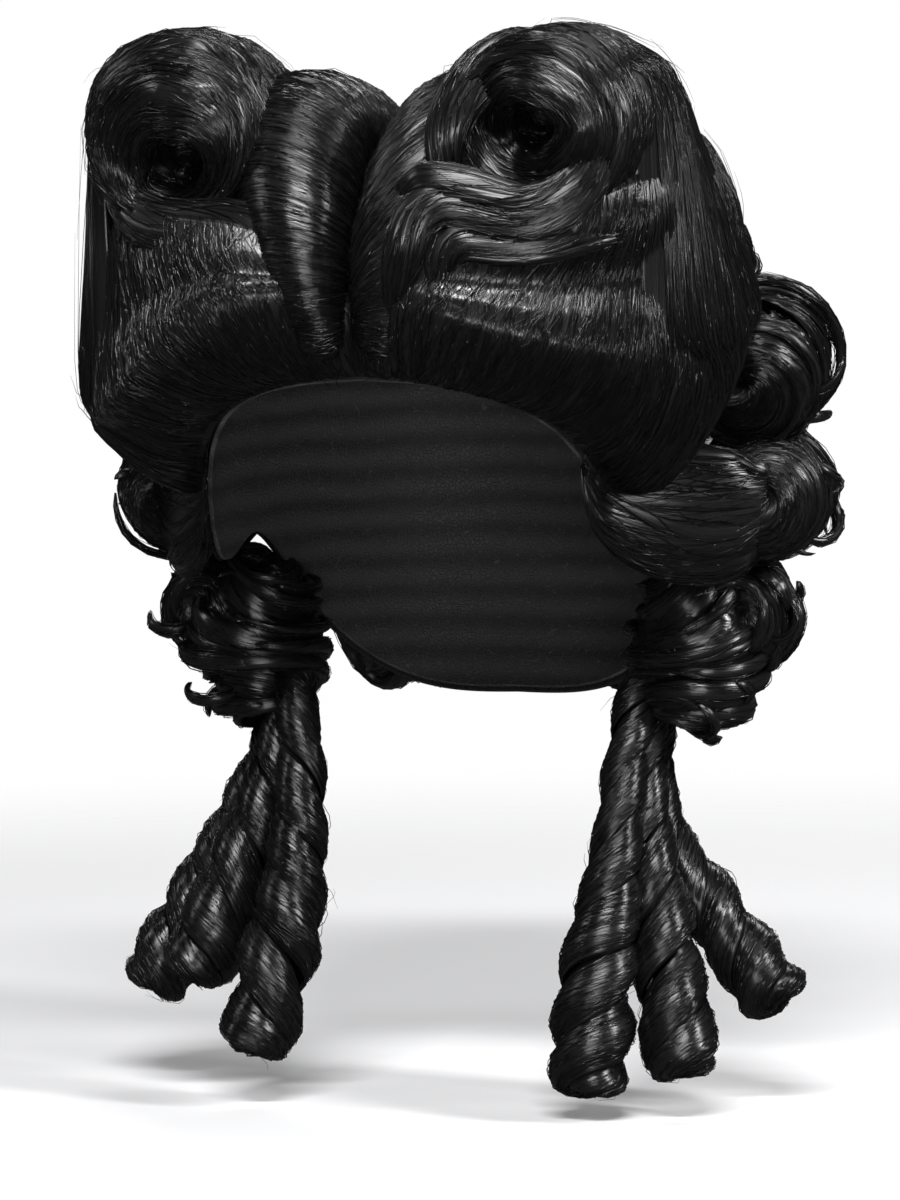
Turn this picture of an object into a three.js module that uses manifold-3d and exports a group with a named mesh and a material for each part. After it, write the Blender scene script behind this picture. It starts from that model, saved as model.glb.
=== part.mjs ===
// Baroque wig: two tall rolled halves over the brow, curls at the sides and back,
// and three hanging ringlets on each side, all sewn to a thin net cap.
// Millimetres. +X is the wearer's left, -Y the front, +Z up.
// The origin is the inside of the cap's crown, where the top of the head sits.
import * as THREE from "three";
import Module from "manifold-3d";

const wasm = await Module();
wasm.setup();

// The head that the cap fits
const HEAD_WIDTH = 150;
const HEAD_DEPTH = 190;
const HEAD_RISE = 100; // from the head's widest level up to its crown
const HEAD_FULLNESS = 2.5; // exponent of the head's form, where 2 is an ellipsoid

// Cap and the gaps that keep the sewn pieces apart
const CAP_WALL = 1.5;
const CAP_SIDES = 24;
const CAP_RINGS = 5;
const SEWN_GAP = 0.6;
const LOCK_GAP = 0.6;
const HAIR_LAYER_FRONT = 1.8; // plain layer of hair over the cap, hidden under the front locks
const HAIR_LAYER_BACK = 7;

// How a curl is wound
const CURL_SIDES = 7;
const BACK_CURL_SIDES = 6;
const CURL_RIDGE = 0.2; // depth of the groove between turns, as a share of the radius
const CURL_MOUTH = 0.56; // hollow at the open end, as a share of the radius
const CURL_LIP = 2;

// Colours and finish of the hair and of the net
const HAIR_BLACK = { color: 0x0b0a0b, roughness: 0.35, metalness: 0 };
const NET_BLACK = { color: 0x121113, roughness: 0.9, metalness: 0 };

// Edge of the cap: degrees round from the brow, and height
const CAP_EDGE = [
  { around: 0, z: -47 },
  { around: 20, z: -50 },
  { around: 40, z: -62 },
  { around: 55, z: -84 },
  { around: 66, z: -106 },
  { around: 78, z: -113 },
  { around: 95, z: -106 },
  { around: 112, z: -112 },
  { around: 130, z: -138 },
  { around: 150, z: -160 },
  { around: 180, z: -166 },
];

// Front swell, a row for each section from the parting round to the side:
// edge is the height of its lower edge, reach how far it stands off the head,
// crest the height of its fullest line, top where it ends under the roll
const FRONT_SWELL = [
  { around: 1, edge: -46, reach: 6, crest: -28, top: -8 },
  { around: 8, edge: -47, reach: 22, crest: -26, top: -2 },
  { around: 19, edge: -50, reach: 33, crest: -24, top: 6 },
  { around: 33, edge: -57, reach: 37, crest: -23, top: 10 },
  { around: 46, edge: -68, reach: 39, crest: -24, top: 18 },
  { around: 58, edge: -83, reach: 41, crest: -27, top: 26 },
  { around: 70, edge: -90, reach: 41, crest: -30, top: 29 },
  { around: 82, edge: -78, reach: 38, crest: -28, top: 26 },
  { around: 94, edge: -60, reach: 32, crest: -22, top: 22 },
  { around: 104, edge: -46, reach: 17, crest: -18, top: 4 },
];
const SWELL_DEPTH_IN = 30; // how far its hidden side runs in, before the head is cut away

// Top roll: the line it is wound on from its mouth to its tail, its radius and its wall
const TOP_ROLL = [
  { x: 65, y: -107, z: 36, radius: 29, wall: 5 },
  { x: 65, y: -99, z: 36, radius: 36, wall: 10.5 },
  { x: 66, y: -84, z: 36, radius: 37, wall: 11.5 },
  { x: 68, y: -56, z: 36, radius: 37, wall: 11.5 },
  { x: 66, y: -24, z: 31, radius: 33, wall: 10 },
  { x: 61, y: 8, z: 20, radius: 25, wall: 7 },
  { x: 54, y: 36, z: 6, radius: 14, wall: 4 },
];
const ROLL_START = 215; // degrees from the outer side, seen from the front
const ROLL_SWEEP = 450;
const ROLL_SLIT = 1; // between one turn and the next
const ROLL_STEPS = 16;
const ROLL_STATIONS = 7;
const ROLL_ROOM_SIDES = 12;

// Locks that lie on the head, a row for each section: half width across, half depth out
const CROWN_WAVE = [
  { x: 9, y: -97, z: -40, across: 6, deep: 5 },
  { x: 15, y: -99, z: -14, across: 14, deep: 14 },
  { x: 22, y: -86, z: 12, across: 21, deep: 21 },
  { x: 30, y: -62, z: 29, across: 27, deep: 25 },
  { x: 35, y: -32, z: 31, across: 30, deep: 24 },
  { x: 37, y: 0, z: 23, across: 30, deep: 21 },
  { x: 37, y: 32, z: 4, across: 22, deep: 14 },
];
const UNDER_WAVE = [
  { x: 9, y: -102, z: -22, across: 7, deep: 6 },
  { x: 20, y: -110, z: -1, across: 10, deep: 8 },
  { x: 36, y: -114, z: 8, across: 10, deep: 8 },
  { x: 53, y: -115, z: 6, across: 10, deep: 8 },
  { x: 70, y: -113, z: 5, across: 9, deep: 8 },
  { x: 85, y: -107, z: 11, across: 8, deep: 7 },
  { x: 94, y: -97, z: 26, across: 5, deep: 5 },
];
const TEMPLE_WAVE = [
  { x: 68, y: -60, z: -74, across: 10, deep: 4 },
  { x: 77, y: -46, z: -90, across: 17, deep: 8 },
  { x: 87, y: -24, z: -104, across: 22, deep: 11 },
  { x: 98, y: 2, z: -109, across: 22, deep: 12 },
  { x: 108, y: 20, z: -100, across: 20, deep: 11 },
  { x: 109, y: 25, z: -83, across: 14, deep: 9 },
  { x: 101, y: 20, z: -72, across: 8, deep: 6 },
];
const WAVE_SIDES = 8;
const WAVE_STEPS = 9;

// Curls beside and behind the ear: start, middle and open end of the line each is wound on,
// and the radius at those three places
const SIDE_CURLS = [
  { start: [92, 60, -42], middle: [104, 32, -46], end: [107, 3, -54], radii: [21, 28, 23], pitch: 34 },
  { start: [96, 62, -92], middle: [107, 36, -92], end: [111, 9, -90], radii: [18, 23, 20], pitch: 32 },
  { start: [82, 52, -4], middle: [91, 28, -3], end: [95, 7, -9], radii: [12, 15, 12], pitch: 24 },
  { start: [84, 64, -130], middle: [96, 44, -134], end: [100, 20, -133], radii: [15, 19, 16], pitch: 30 },
  { start: [76, 24, -118], middle: [82, 30, -146], end: [77, 26, -172], radii: [19, 24, 18], pitch: 32 },
];
const SIDE_CURL_STEPS = 5;

// Rows of plain curls over the back: height, standing off the head, and where each lies round it
const BACK_CURL_ROWS = [
  { z: -10, off: 16, radius: 22, length: 54, pitch: 32, around: [138, 180, 222] },
  { z: -52, off: 18, radius: 24, length: 66, pitch: 34, around: [129, 163, 197, 231] },
  { z: -97, off: 17, radius: 24, length: 72, pitch: 34, around: [142, 180, 218] },
  { z: -140, off: 15, radius: 22, length: 62, pitch: 32, around: [159, 201] },
];
const BACK_CURL_STEPS = 4;
const BACK_CURL_SAG = 5; // how far the ends of a back curl droop
const BACK_CURL_ENDS = 0.8; // radius at its ends, as a share of the middle

// Hanging ringlets: points down each one with the radius there
const RINGLET_PITCH = 33;
const RINGLET_STEPS = 12;
const RINGLETS = {
  ringlet_left_front: [
    { x: 59, y: 26, z: -136, radius: 6 },
    { x: 59, y: 10, z: -166, radius: 11 },
    { x: 62, y: 1, z: -198, radius: 12 },
    { x: 61, y: -7, z: -228, radius: 15 },
    { x: 58, y: -16, z: -260, radius: 16 },
    { x: 57, y: -26, z: -297, radius: 15 },
  ],
  ringlet_left_middle: [
    { x: 62, y: 32, z: -138, radius: 6 },
    { x: 65, y: 20, z: -170, radius: 8 },
    { x: 69, y: 12, z: -204, radius: 10 },
    { x: 77, y: 2, z: -236, radius: 14 },
    { x: 83, y: -8, z: -264, radius: 14 },
    { x: 89, y: -15, z: -291, radius: 14 },
  ],
  ringlet_left_back: [
    { x: 64, y: 40, z: -140, radius: 6 },
    { x: 66, y: 34, z: -176, radius: 8 },
    { x: 70, y: 28, z: -208, radius: 10 },
    { x: 86, y: 21, z: -232, radius: 13 },
    { x: 102, y: 17, z: -252, radius: 14 },
    { x: 117, y: 13, z: -269, radius: 14 },
  ],
  ringlet_right_front: [
    { x: -58, y: 24, z: -136, radius: 6 },
    { x: -56, y: 10, z: -164, radius: 9 },
    { x: -54, y: 0, z: -196, radius: 11 },
    { x: -56, y: -7, z: -228, radius: 14 },
    { x: -60, y: -16, z: -256, radius: 15 },
    { x: -66, y: -25, z: -288, radius: 15 },
  ],
  ringlet_right_middle: [
    { x: -62, y: 32, z: -138, radius: 6 },
    { x: -66, y: 20, z: -166, radius: 9 },
    { x: -71, y: 12, z: -196, radius: 12 },
    { x: -78, y: 4, z: -220, radius: 14 },
    { x: -86, y: -5, z: -243, radius: 15 },
    { x: -94, y: -12, z: -265, radius: 15 },
  ],
  ringlet_right_back: [
    { x: -65, y: 40, z: -140, radius: 6 },
    { x: -72, y: 34, z: -168, radius: 10 },
    { x: -81, y: 28, z: -198, radius: 12 },
    { x: -94, y: 22, z: -226, radius: 14 },
    { x: -107, y: 17, z: -250, radius: 14 },
    { x: -120, y: 14, z: -273, radius: 14 },
  ],
};

const headCentre = new THREE.Vector3(0, 0, -HEAD_RISE);
const radians = THREE.MathUtils.degToRad;

// The point of the head in a direction, pushed out by an offset
function headPoint(around, down, offset) {
  const way = new THREE.Vector3(
    Math.sin(radians(down)) * Math.sin(radians(around)),
    -Math.sin(radians(down)) * Math.cos(radians(around)),
    Math.cos(radians(down)),
  );
  const share = (size, half) => Math.abs(size / half) ** HEAD_FULLNESS;
  const sum =
    share(way.x, HEAD_WIDTH / 2) + share(way.y, HEAD_DEPTH / 2) + share(way.z, HEAD_RISE);
  const reach = sum ** (-1 / HEAD_FULLNESS);
  return way.multiplyScalar(reach + offset).add(headCentre);
}

// How far down from the crown, in degrees, the head has a given height
function downAt(around, z) {
  let low = 0;
  let high = 180;
  for (let halving = 0; halving < 24; halving += 1) {
    const middle = (low + high) / 2;
    if (headPoint(around, middle, 0).z > z) low = middle;
    else high = middle;
  }
  return low;
}

// A value read from a table at a place, on a smooth curve through its rows
function readTable(rows, key, column, place) {
  const next = rows.findIndex((row) => row[key] >= place);
  const b = Math.max(1, next === -1 ? rows.length - 1 : next);
  const share = THREE.MathUtils.smoothstep(place, rows[b - 1][key], rows[b][key]);
  return THREE.MathUtils.lerp(rows[b - 1][column], rows[b][column], share);
}

const capEdge = (around) => readTable(CAP_EDGE, "around", "z", 180 - Math.abs(180 - around));

// Triangles that fill a flat ring, wound the way the ring runs
function fill(ring) {
  const normal = new THREE.Vector3();
  ring.forEach((p, i) => {
    normal.add(new THREE.Vector3().crossVectors(p, ring[(i + 1) % ring.length]));
  });
  normal.normalize();
  const across = new THREE.Vector3(Math.abs(normal.x) > 0.9 ? 0 : 1, 1, 0).cross(normal).normalize();
  const up = new THREE.Vector3().crossVectors(normal, across);
  const contour = ring.map((p) => new THREE.Vector2(p.dot(across), p.dot(up)));
  return THREE.ShapeUtils.triangulateShape(contour, []);
}

// A solid through rings of points, filled at both ends, with its faces turned outwards.
// Each four-cornered patch is split along its shorter diagonal.
function solidOf(rings) {
  const count = rings[0].length;
  const last = (rings.length - 1) * count;
  const points = rings.flat();
  const faces = [];
  for (let a = 0; a < last; a += 1) {
    const b = (a + 1) % count === 0 ? a + 1 - count : a + 1;
    const [c, d] = [b + count, a + count];
    if (points[a].distanceTo(points[c]) < points[b].distanceTo(points[d])) {
      faces.push([a, b, c], [a, c, d]);
    } else {
      faces.push([a, b, d], [b, c, d]);
    }
  }
  faces.push(...fill(rings[0]).map((face) => face.toReversed()));
  faces.push(...fill(rings.at(-1)).map((face) => face.map((corner) => corner + last)));
  const mesh = (order) =>
    new wasm.Mesh({
      numProp: 3,
      vertProperties: new Float32Array(points.flatMap((p) => p.toArray())),
      triVerts: new Uint32Array(order.flat()),
    });
  const made = new wasm.Manifold(mesh(faces));
  if (made.volume() > 0) return made;
  return new wasm.Manifold(mesh(faces.map((face) => face.toReversed())));
}

// The body with the most volume, so that a cut leaves one piece
function mainBody(solid) {
  return solid.decompose().sort((a, b) => b.volume() - a.volume())[0];
}

// A ring of the dome over the head, at a share of the way from the crown to the edge
function domeRing(share, offsetAt) {
  const top = 4;
  return Array.from({ length: CAP_SIDES }, (_, i) => {
    const around = (i * 360) / CAP_SIDES;
    const edge = downAt(around, capEdge(around));
    const down = share > 1 ? edge + (share - 1) * (176 - edge) : top + share * (edge - top);
    return headPoint(around, down, offsetAt(around));
  });
}

const domeShares = Array.from({ length: CAP_RINGS + 1 }, (_, i) => i / CAP_RINGS);

// A dome that follows the cap's edge, as a shell between two offsets from the head
function domeShell(innerAt, outerAt) {
  const outside = domeShares.map((share) => domeRing(share, outerAt));
  const inside = domeShares.map((share) => domeRing(share, innerAt));
  return solidOf([...outside, ...inside.reverse()]);
}

const layerInside = () => CAP_WALL + SEWN_GAP;

function layerOutside(around) {
  const behind = THREE.MathUtils.smoothstep(180 - Math.abs(180 - around), 80, 130);
  return layerInside() + THREE.MathUtils.lerp(HAIR_LAYER_FRONT, HAIR_LAYER_BACK, behind);
}

// The whole head with the cap and the plain layer on it, to be cut out of the locks
function headRoom() {
  const room = (around) => layerOutside(around) + LOCK_GAP;
  const shares = [...domeShares, 1.3, 1.65, 2];
  return solidOf(shares.map((share) => domeRing(share, room)));
}

// Front swell: a closed profile for each row, its outer side from the hairline over the crest
function frontSwell(side, grow) {
  const outerSteps = 6;
  return solidOf(
    FRONT_SWELL.map((row, i) => {
      const end = i === 0 ? -1 : Number(i === FRONT_SWELL.length - 1);
      const [sin, cos] = [Math.sin, Math.cos].map((f) => f(radians(row.around + end * grow)));
      const edge = row.edge - grow;
      const start = headPoint(row.around, downAt(row.around, edge), 1);
      const flat = Math.hypot(start.x, start.y);
      const reach = row.reach + grow;
      const profile = new THREE.SplineCurve([
        new THREE.Vector2(flat, edge),
        new THREE.Vector2(flat + 0.62 * reach, edge + 0.26 * (row.crest - edge)),
        new THREE.Vector2(flat + reach, row.crest),
        new THREE.Vector2(flat + 0.9 * reach, row.crest + 0.6 * (row.top - row.crest)),
        new THREE.Vector2(flat + 0.45 * reach, row.top + grow),
      ]).getPoints(outerSteps);
      profile.push(new THREE.Vector2(flat - SWELL_DEPTH_IN, row.top + grow));
      profile.push(new THREE.Vector2(flat - SWELL_DEPTH_IN, edge));
      return profile.map((p) => new THREE.Vector3(side * p.x * sin, -p.x * cos, p.y));
    }),
  );
}

// Points along a table's rows, with the other columns carried along on the same curve
function along(rows, columns, steps, side) {
  const spine = new THREE.CatmullRomCurve3(
    rows.map((row) => new THREE.Vector3(side * row.x, row.y, row.z)),
    false,
    "centripetal",
  );
  return Array.from({ length: steps + 1 }, (_, i) => {
    const t = i / steps;
    const place = t * (rows.length - 1);
    const before = Math.min(Math.floor(place), rows.length - 2);
    const share = place - before;
    const values = columns.map((column) =>
      THREE.MathUtils.lerp(rows[before][column], rows[before + 1][column], share),
    );
    const end = i === 0 ? -1 : Number(i === steps);
    return { point: spine.getPoint(t), tangent: spine.getTangent(t), end, values };
  });
}

// A lock lying on the head: oval sections that stay flat to it
function wave(rows, side, grow) {
  return solidOf(
    along(rows, ["across", "deep"], WAVE_STEPS, side).map(({ point, tangent, end, values }) => {
      point.addScaledVector(tangent, end * grow);
      const out = point.clone().sub(headCentre);
      out.addScaledVector(tangent, -out.dot(tangent)).normalize();
      const wide = new THREE.Vector3().crossVectors(tangent, out).normalize();
      return Array.from({ length: WAVE_SIDES }, (_, i) => {
        const turn = (i * 2 * Math.PI) / WAVE_SIDES;
        return point
          .clone()
          .addScaledVector(wide, Math.cos(turn) * (values[0] + grow))
          .addScaledVector(out, Math.sin(turn) * (values[1] + grow));
      });
    }),
  );
}

// Stations down the top roll, each with its own upright frame
function rollStations(side, grow) {
  return along(TOP_ROLL, ["radius", "wall"], ROLL_STATIONS, side).map(({ point, tangent, end, values }) => {
    point.addScaledVector(tangent, end * grow);
    const out = new THREE.Vector3(side, 0, 0);
    out.addScaledVector(tangent, -out.dot(tangent)).normalize();
    const up = new THREE.Vector3().crossVectors(out, tangent).multiplyScalar(side).normalize();
    const spot = (turn, radius) =>
      point
        .clone()
        .addScaledVector(out, Math.cos(turn) * radius)
        .addScaledVector(up, Math.sin(turn) * radius);
    return { spot, radius: values[0], wall: values[1] };
  });
}

// Top roll: one sheet of hair wound inwards, open down its middle
function topRoll(side) {
  return solidOf(
    rollStations(side, 0).map(({ spot, radius, wall }) => {
      const drop = ((wall + ROLL_SLIT) * ROLL_SWEEP) / 360;
      const face = (depth) =>
        Array.from({ length: ROLL_STEPS + 1 }, (_, i) => {
          const share = i / ROLL_STEPS;
          const thickness = wall * Math.min(1, 0.35 + 8 * share);
          const turn = radians(ROLL_START - ROLL_SWEEP * share);
          return spot(turn, radius - drop * share - depth * thickness);
        });
      return [...face(0), ...face(1).reverse()];
    }),
  );
}

// The room that a roll takes, filled
function topRollRoom(side, grow) {
  const half = Math.PI / ROLL_ROOM_SIDES;
  const corners = Array.from({ length: ROLL_ROOM_SIDES }, (_, i) => i * 2 * half);
  return solidOf(
    rollStations(side, grow).map(({ spot, radius }) =>
      corners.map((turn) => spot(turn, (radius + grow) / Math.cos(half))),
    ),
  );
}

// A curl wound round a line, with a groove between its turns and, if open, a hollow end
function curl(line, radiusAt, { pitch, sides, steps, open }, grow) {
  const length = line.getLength();
  const frames = line.computeFrenetFrames(steps, false);
  const ring = (step, radius, shift, grooved) =>
    Array.from({ length: sides }, (_, i) => {
      const turn = (i * 2 * Math.PI) / sides;
      const wound = THREE.MathUtils.euclideanModulo(
        i / sides + ((step / steps) * length) / pitch,
        1,
      );
      const groove = grooved ? CURL_RIDGE * (1 - Math.sin(Math.PI * wound) ** 0.7) : 0;
      return line
        .getPointAt(step / steps)
        .addScaledVector(frames.tangents[step], shift)
        .addScaledVector(frames.normals[step], Math.cos(turn) * radius * (1 - groove))
        .addScaledVector(frames.binormals[step], Math.sin(turn) * radius * (1 - groove));
    });
  const rings = Array.from({ length: steps + 1 }, (_, i) =>
    ring(i, radiusAt(i / steps) + grow, 0, grow === 0),
  );
  const end = radiusAt(1) + grow;
  const start = radiusAt(0) + grow;
  const rounded = [ring(0, 0.6 * start, -CURL_LIP - grow, false), ...rings];
  if (grow > 0) return solidOf([...rounded, ring(steps, 0.9 * end, CURL_LIP + grow, false)]);
  if (!open) return solidOf([...rounded, ring(steps, 0.6 * end, CURL_LIP, false)]);
  return solidOf([
    ...rounded,
    ring(steps, 0.8 * end, CURL_LIP, false),
    ring(steps, CURL_MOUTH * end, CURL_LIP / 2, false),
    ring(steps, 0.7 * CURL_MOUTH * end, -0.8 * end, false),
  ]);
}

// A value that runs through evenly spaced ones
function spread(values) {
  return (share) => {
    const place = share * (values.length - 1);
    const before = Math.min(Math.floor(place), values.length - 2);
    return THREE.MathUtils.lerp(values[before], values[before + 1], place - before);
  };
}

function sideCurl(row, side, grow) {
  const [start, middle, end] = [row.start, row.middle, row.end].map(
    ([x, y, z]) => new THREE.Vector3(side * x, y, z),
  );
  const line = new THREE.CatmullRomCurve3([start, middle, end]);
  const winding = { pitch: row.pitch, sides: CURL_SIDES, steps: SIDE_CURL_STEPS, open: true };
  return curl(line, spread(row.radii), winding, grow);
}

function backCurl(row, around, grow) {
  const halfTurn = THREE.MathUtils.radToDeg(row.length / 2 / (HEAD_DEPTH / 2 + row.off));
  const points = [-1, 0, 1].map((place) => {
    const way = around + place * halfTurn;
    const point = headPoint(way, downAt(way, row.z), row.off);
    point.z -= BACK_CURL_SAG * Math.abs(place);
    return point;
  });
  const ends = BACK_CURL_ENDS * row.radius;
  const line = new THREE.CatmullRomCurve3(points);
  const winding = { pitch: row.pitch, sides: BACK_CURL_SIDES, steps: BACK_CURL_STEPS, open: false };
  return curl(line, spread([ends, row.radius, ends]), winding, grow);
}

function ringlet(rows, grow) {
  const line = new THREE.CatmullRomCurve3(rows.map((row) => new THREE.Vector3(row.x, row.y, row.z)));
  const radii = rows.map((row) => row.radius);
  const winding = { pitch: RINGLET_PITCH, sides: CURL_SIDES, steps: RINGLET_STEPS, open: true };
  return curl(line, spread(radii), winding, grow);
}

// A wall on the middle plane that keeps the two halves apart at the parting
function partingRoom() {
  const box = (y) =>
    [[-1, -1], [1, -1], [1, 1], [-1, 1]].map(
      ([x, z]) => new THREE.Vector3(x * LOCK_GAP, y, z * HEAD_DEPTH),
    );
  return solidOf([box(-HEAD_DEPTH), box(HEAD_DEPTH)]);
}

const wig = new THREE.Group();
const taken = []; // rooms of the pieces already placed, each with its bounding box

function addMesh(name, solid, finish) {
  const { vertProperties, triVerts } = solid.getMesh();
  const geometry = new THREE.BufferGeometry();
  geometry.setAttribute("position", new THREE.BufferAttribute(vertProperties, 3));
  geometry.setIndex(new THREE.BufferAttribute(triVerts, 1));
  geometry.computeVertexNormals();
  const mesh = new THREE.Mesh(geometry, new THREE.MeshStandardMaterial(finish));
  mesh.name = name;
  wig.add(mesh);
}

// Places a lock: what earlier locks, the parting and the head take is cut out of it
function place(name, solid, room) {
  const cuts = taken.filter((other) => {
    const [a, b] = [solid.boundingBox(), other.boundingBox()];
    return [0, 1, 2].every((k) => a.min[k] < b.max[k] && b.min[k] < a.max[k]);
  });
  const left = cuts.reduce((body, other) => body.subtract(other), solid);
  addMesh(name, mainBody(left), HAIR_BLACK);
  taken.push(room);
}

addMesh("cap", domeShell(() => 0, () => CAP_WALL), NET_BLACK);
addMesh("back_hair", domeShell(layerInside, layerOutside), HAIR_BLACK);
taken.push(headRoom());

const sides = { left: 1, right: -1 };
const middleWall = partingRoom();
taken.push(middleWall);
for (const [name, side] of Object.entries(sides)) {
  place(`top_roll_${name}`, topRoll(side), topRollRoom(side, LOCK_GAP));
  place(`crown_wave_${name}`, wave(CROWN_WAVE, side, 0), wave(CROWN_WAVE, side, LOCK_GAP));
  place(`under_wave_${name}`, wave(UNDER_WAVE, side, 0), wave(UNDER_WAVE, side, LOCK_GAP));
  place(`front_swell_${name}`, frontSwell(side, 0), frontSwell(side, LOCK_GAP));
}
taken.splice(taken.indexOf(middleWall), 1);

for (const [name, side] of Object.entries(sides)) {
  place(`temple_wave_${name}`, wave(TEMPLE_WAVE, side, 0), wave(TEMPLE_WAVE, side, LOCK_GAP));
  SIDE_CURLS.forEach((row, i) => {
    place(`side_curl_${name}_${i + 1}`, sideCurl(row, side, 0), sideCurl(row, side, LOCK_GAP));
  });
}
for (const [name, rows] of Object.entries(RINGLETS)) {
  place(name, ringlet(rows, 0), ringlet(rows, LOCK_GAP));
}
BACK_CURL_ROWS.forEach((row, tier) => {
  row.around.forEach((around, i) => {
    place(
      `back_curl_${tier + 1}_${i + 1}`,
      backCurl(row, around, 0),
      backCurl(row, around, LOCK_GAP),
    );
  });
});

export default wig;
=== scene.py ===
import math

import bpy
import numpy as np
from mathutils import Matrix
from mathutils.bvhtree import BVHTree


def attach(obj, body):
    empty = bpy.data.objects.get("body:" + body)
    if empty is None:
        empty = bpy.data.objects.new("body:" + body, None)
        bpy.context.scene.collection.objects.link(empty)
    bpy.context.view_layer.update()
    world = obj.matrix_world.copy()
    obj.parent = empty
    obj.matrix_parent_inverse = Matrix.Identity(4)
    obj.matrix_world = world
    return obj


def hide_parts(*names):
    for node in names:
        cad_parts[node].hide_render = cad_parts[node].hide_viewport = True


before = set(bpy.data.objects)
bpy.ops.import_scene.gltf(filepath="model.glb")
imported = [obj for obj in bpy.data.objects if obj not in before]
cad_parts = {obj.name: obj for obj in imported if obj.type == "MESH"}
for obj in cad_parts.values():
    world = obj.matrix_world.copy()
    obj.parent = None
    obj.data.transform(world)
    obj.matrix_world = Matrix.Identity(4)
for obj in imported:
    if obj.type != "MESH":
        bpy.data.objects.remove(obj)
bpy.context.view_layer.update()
print("frame loaded,", len(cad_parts), "solids")

mm = 0.001  # the tables below are in millimetres, the scene in metres
sides = {"left": 1, "right": -1}  # the wearer's left is +X
headForm = dict(half=np.array([75.0, 95.0, 100.0]), fullness=2.5, centre=np.array([0.0, 0.0, -100.0]))
anyTurn = (0, 6.3)  # radians
fullTurn = 2 * np.pi
lineSteps = 400  # places along a line before it is read at even steps
quadCorners = ((0, 0), (0, 1), (1, 1), (1, 0))  # steps down and across a grid


# turns a camera or lamp to the wig from an azimuth, elevation and distance
def lookIn(thing, spec):
    az, el, roll = (math.radians(spec.get(key, 0)) for key in ("az", "el", "roll"))
    back = np.array([math.sin(az) * math.cos(el), -math.cos(az) * math.cos(el), math.sin(el)])
    right = np.array([math.cos(az), math.sin(az), 0.0])
    up = np.cross(back, right)
    right, up = right * math.cos(roll) - up * math.sin(roll), right * math.sin(roll) + up * math.cos(roll)
    place = np.array(spec["aim"]) + back * spec["away"]
    thing.matrix_world = Matrix([*np.stack([right, up, back, place], 1).tolist(), (0, 0, 0, 1)])


# camera at the angle of the photograph, which is 900 x 1200
photoCamera = dict(az=18, el=5, roll=0.8, away=1.8, aim=(0.0013, 0.0, -0.128),
                   focalPixels=5130, photoHeight=1200, sensor=36, clipEnd=20)


def addCamera():
    bpy.ops.object.camera_add()
    camera = bpy.context.object
    camera.name = "photo_camera"
    lookIn(camera, photoCamera)
    camera.data.sensor_fit = "VERTICAL"
    camera.data.sensor_height = photoCamera["sensor"]
    camera.data.lens = photoCamera["sensor"] * photoCamera["focalPixels"] / photoCamera["photoHeight"]
    camera.data.clip_end = photoCamera["clipEnd"]
    bpy.context.scene.camera = camera


bpy.ops.object.select_all(action="DESELECT")
addCamera()
print("camera placed")


# shader nodes: a socket is given a value or another node's output
def feed(tree, node, sockets):
    for key, value in dict(sockets).items():
        if isinstance(value, bpy.types.NodeSocket):
            tree.links.new(value, node.inputs[key])
        else:
            node.inputs[key].default_value = value


def addNode(tree, kind, sockets=(), **settings):
    node = tree.nodes.new(kind)
    for key, value in settings.items():
        setattr(node, key, value)
    feed(tree, node, sockets)
    return node.outputs


def remap(tree, value, start=(0, 1), end=(0, 1), **settings):
    ends = zip(("From Min", "From Max", "To Min", "To Max"), (*start, *end))
    return addNode(tree, "ShaderNodeMapRange", {"Value": value, **dict(ends)}, **settings)[0]


def blend(tree, factor, dark, light):
    sockets = {"Factor": factor, "A": (*dark, 1), "B": (*light, 1)}
    return addNode(tree, "ShaderNodeMix", sockets, data_type="RGBA")["Result"]


def addBump(tree, height, strength, depth):
    return addNode(tree, "ShaderNodeBump", {"Height": height, "Strength": strength, "Distance": depth})[0]


def newMaterial(name):
    material = bpy.data.materials.new(name)
    material.use_nodes = True
    return material, material.node_tree, material.node_tree.nodes["Principled BSDF"]


# soft studio light in a white room: each lamp stands at an azimuth, elevation and distance from the wig
studio = dict(
    aim=(0.0, 0.0, -0.09), white=(1, 1, 1, 1), dim=(0.95, 0.97, 1, 1), dimStrength=0.05,
    lamps=dict(
        key=dict(az=14, el=46, away=1.5, size=(0.8, 0.13), watts=23),
        low_fill=dict(az=20, el=2, away=1.8, size=(0.8, 0.12), watts=9),
        left_strip=dict(az=-70, el=35, away=1.5, size=(0.2, 0.5), watts=2.2),
        right_strip=dict(az=82, el=28, away=1.5, size=(0.2, 0.6), watts=17),
        top=dict(az=20, el=82, away=1.3, size=(0.5, 0.25), watts=2),
        back_rim=dict(az=185, el=40, away=1.5, size=(0.9, 0.3), watts=7),
    ),
)


def addLight(name, lamp):
    bpy.ops.object.light_add(type="AREA")
    light = bpy.context.object
    light.name = "light_" + name
    lookIn(light, dict(lamp, aim=studio["aim"]))
    light.data.shape = "RECTANGLE"
    light.data.size, light.data.size_y = lamp["size"]
    light.data.energy = lamp["watts"]


def addWorld():
    world = bpy.data.worlds.new("white_studio")
    bpy.context.scene.world = world
    world.use_nodes = True
    tree = world.node_tree
    tree.nodes.clear()
    behind = addNode(tree, "ShaderNodeLightPath")["Is Camera Ray"]
    white = addNode(tree, "ShaderNodeBackground", {"Color": studio["white"]})[0]
    dim = addNode(tree, "ShaderNodeBackground", {"Color": studio["dim"], "Strength": studio["dimStrength"]})[0]
    room = addNode(tree, "ShaderNodeMixShader", {"Fac": behind, 1: dim, 2: white})[0]
    addNode(tree, "ShaderNodeOutputWorld", {"Surface": room})


for name, lamp in studio["lamps"].items():
    addLight(name, lamp)
addWorld()
bpy.context.scene.view_settings.view_transform = "Standard"
print("studio light ready")


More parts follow.
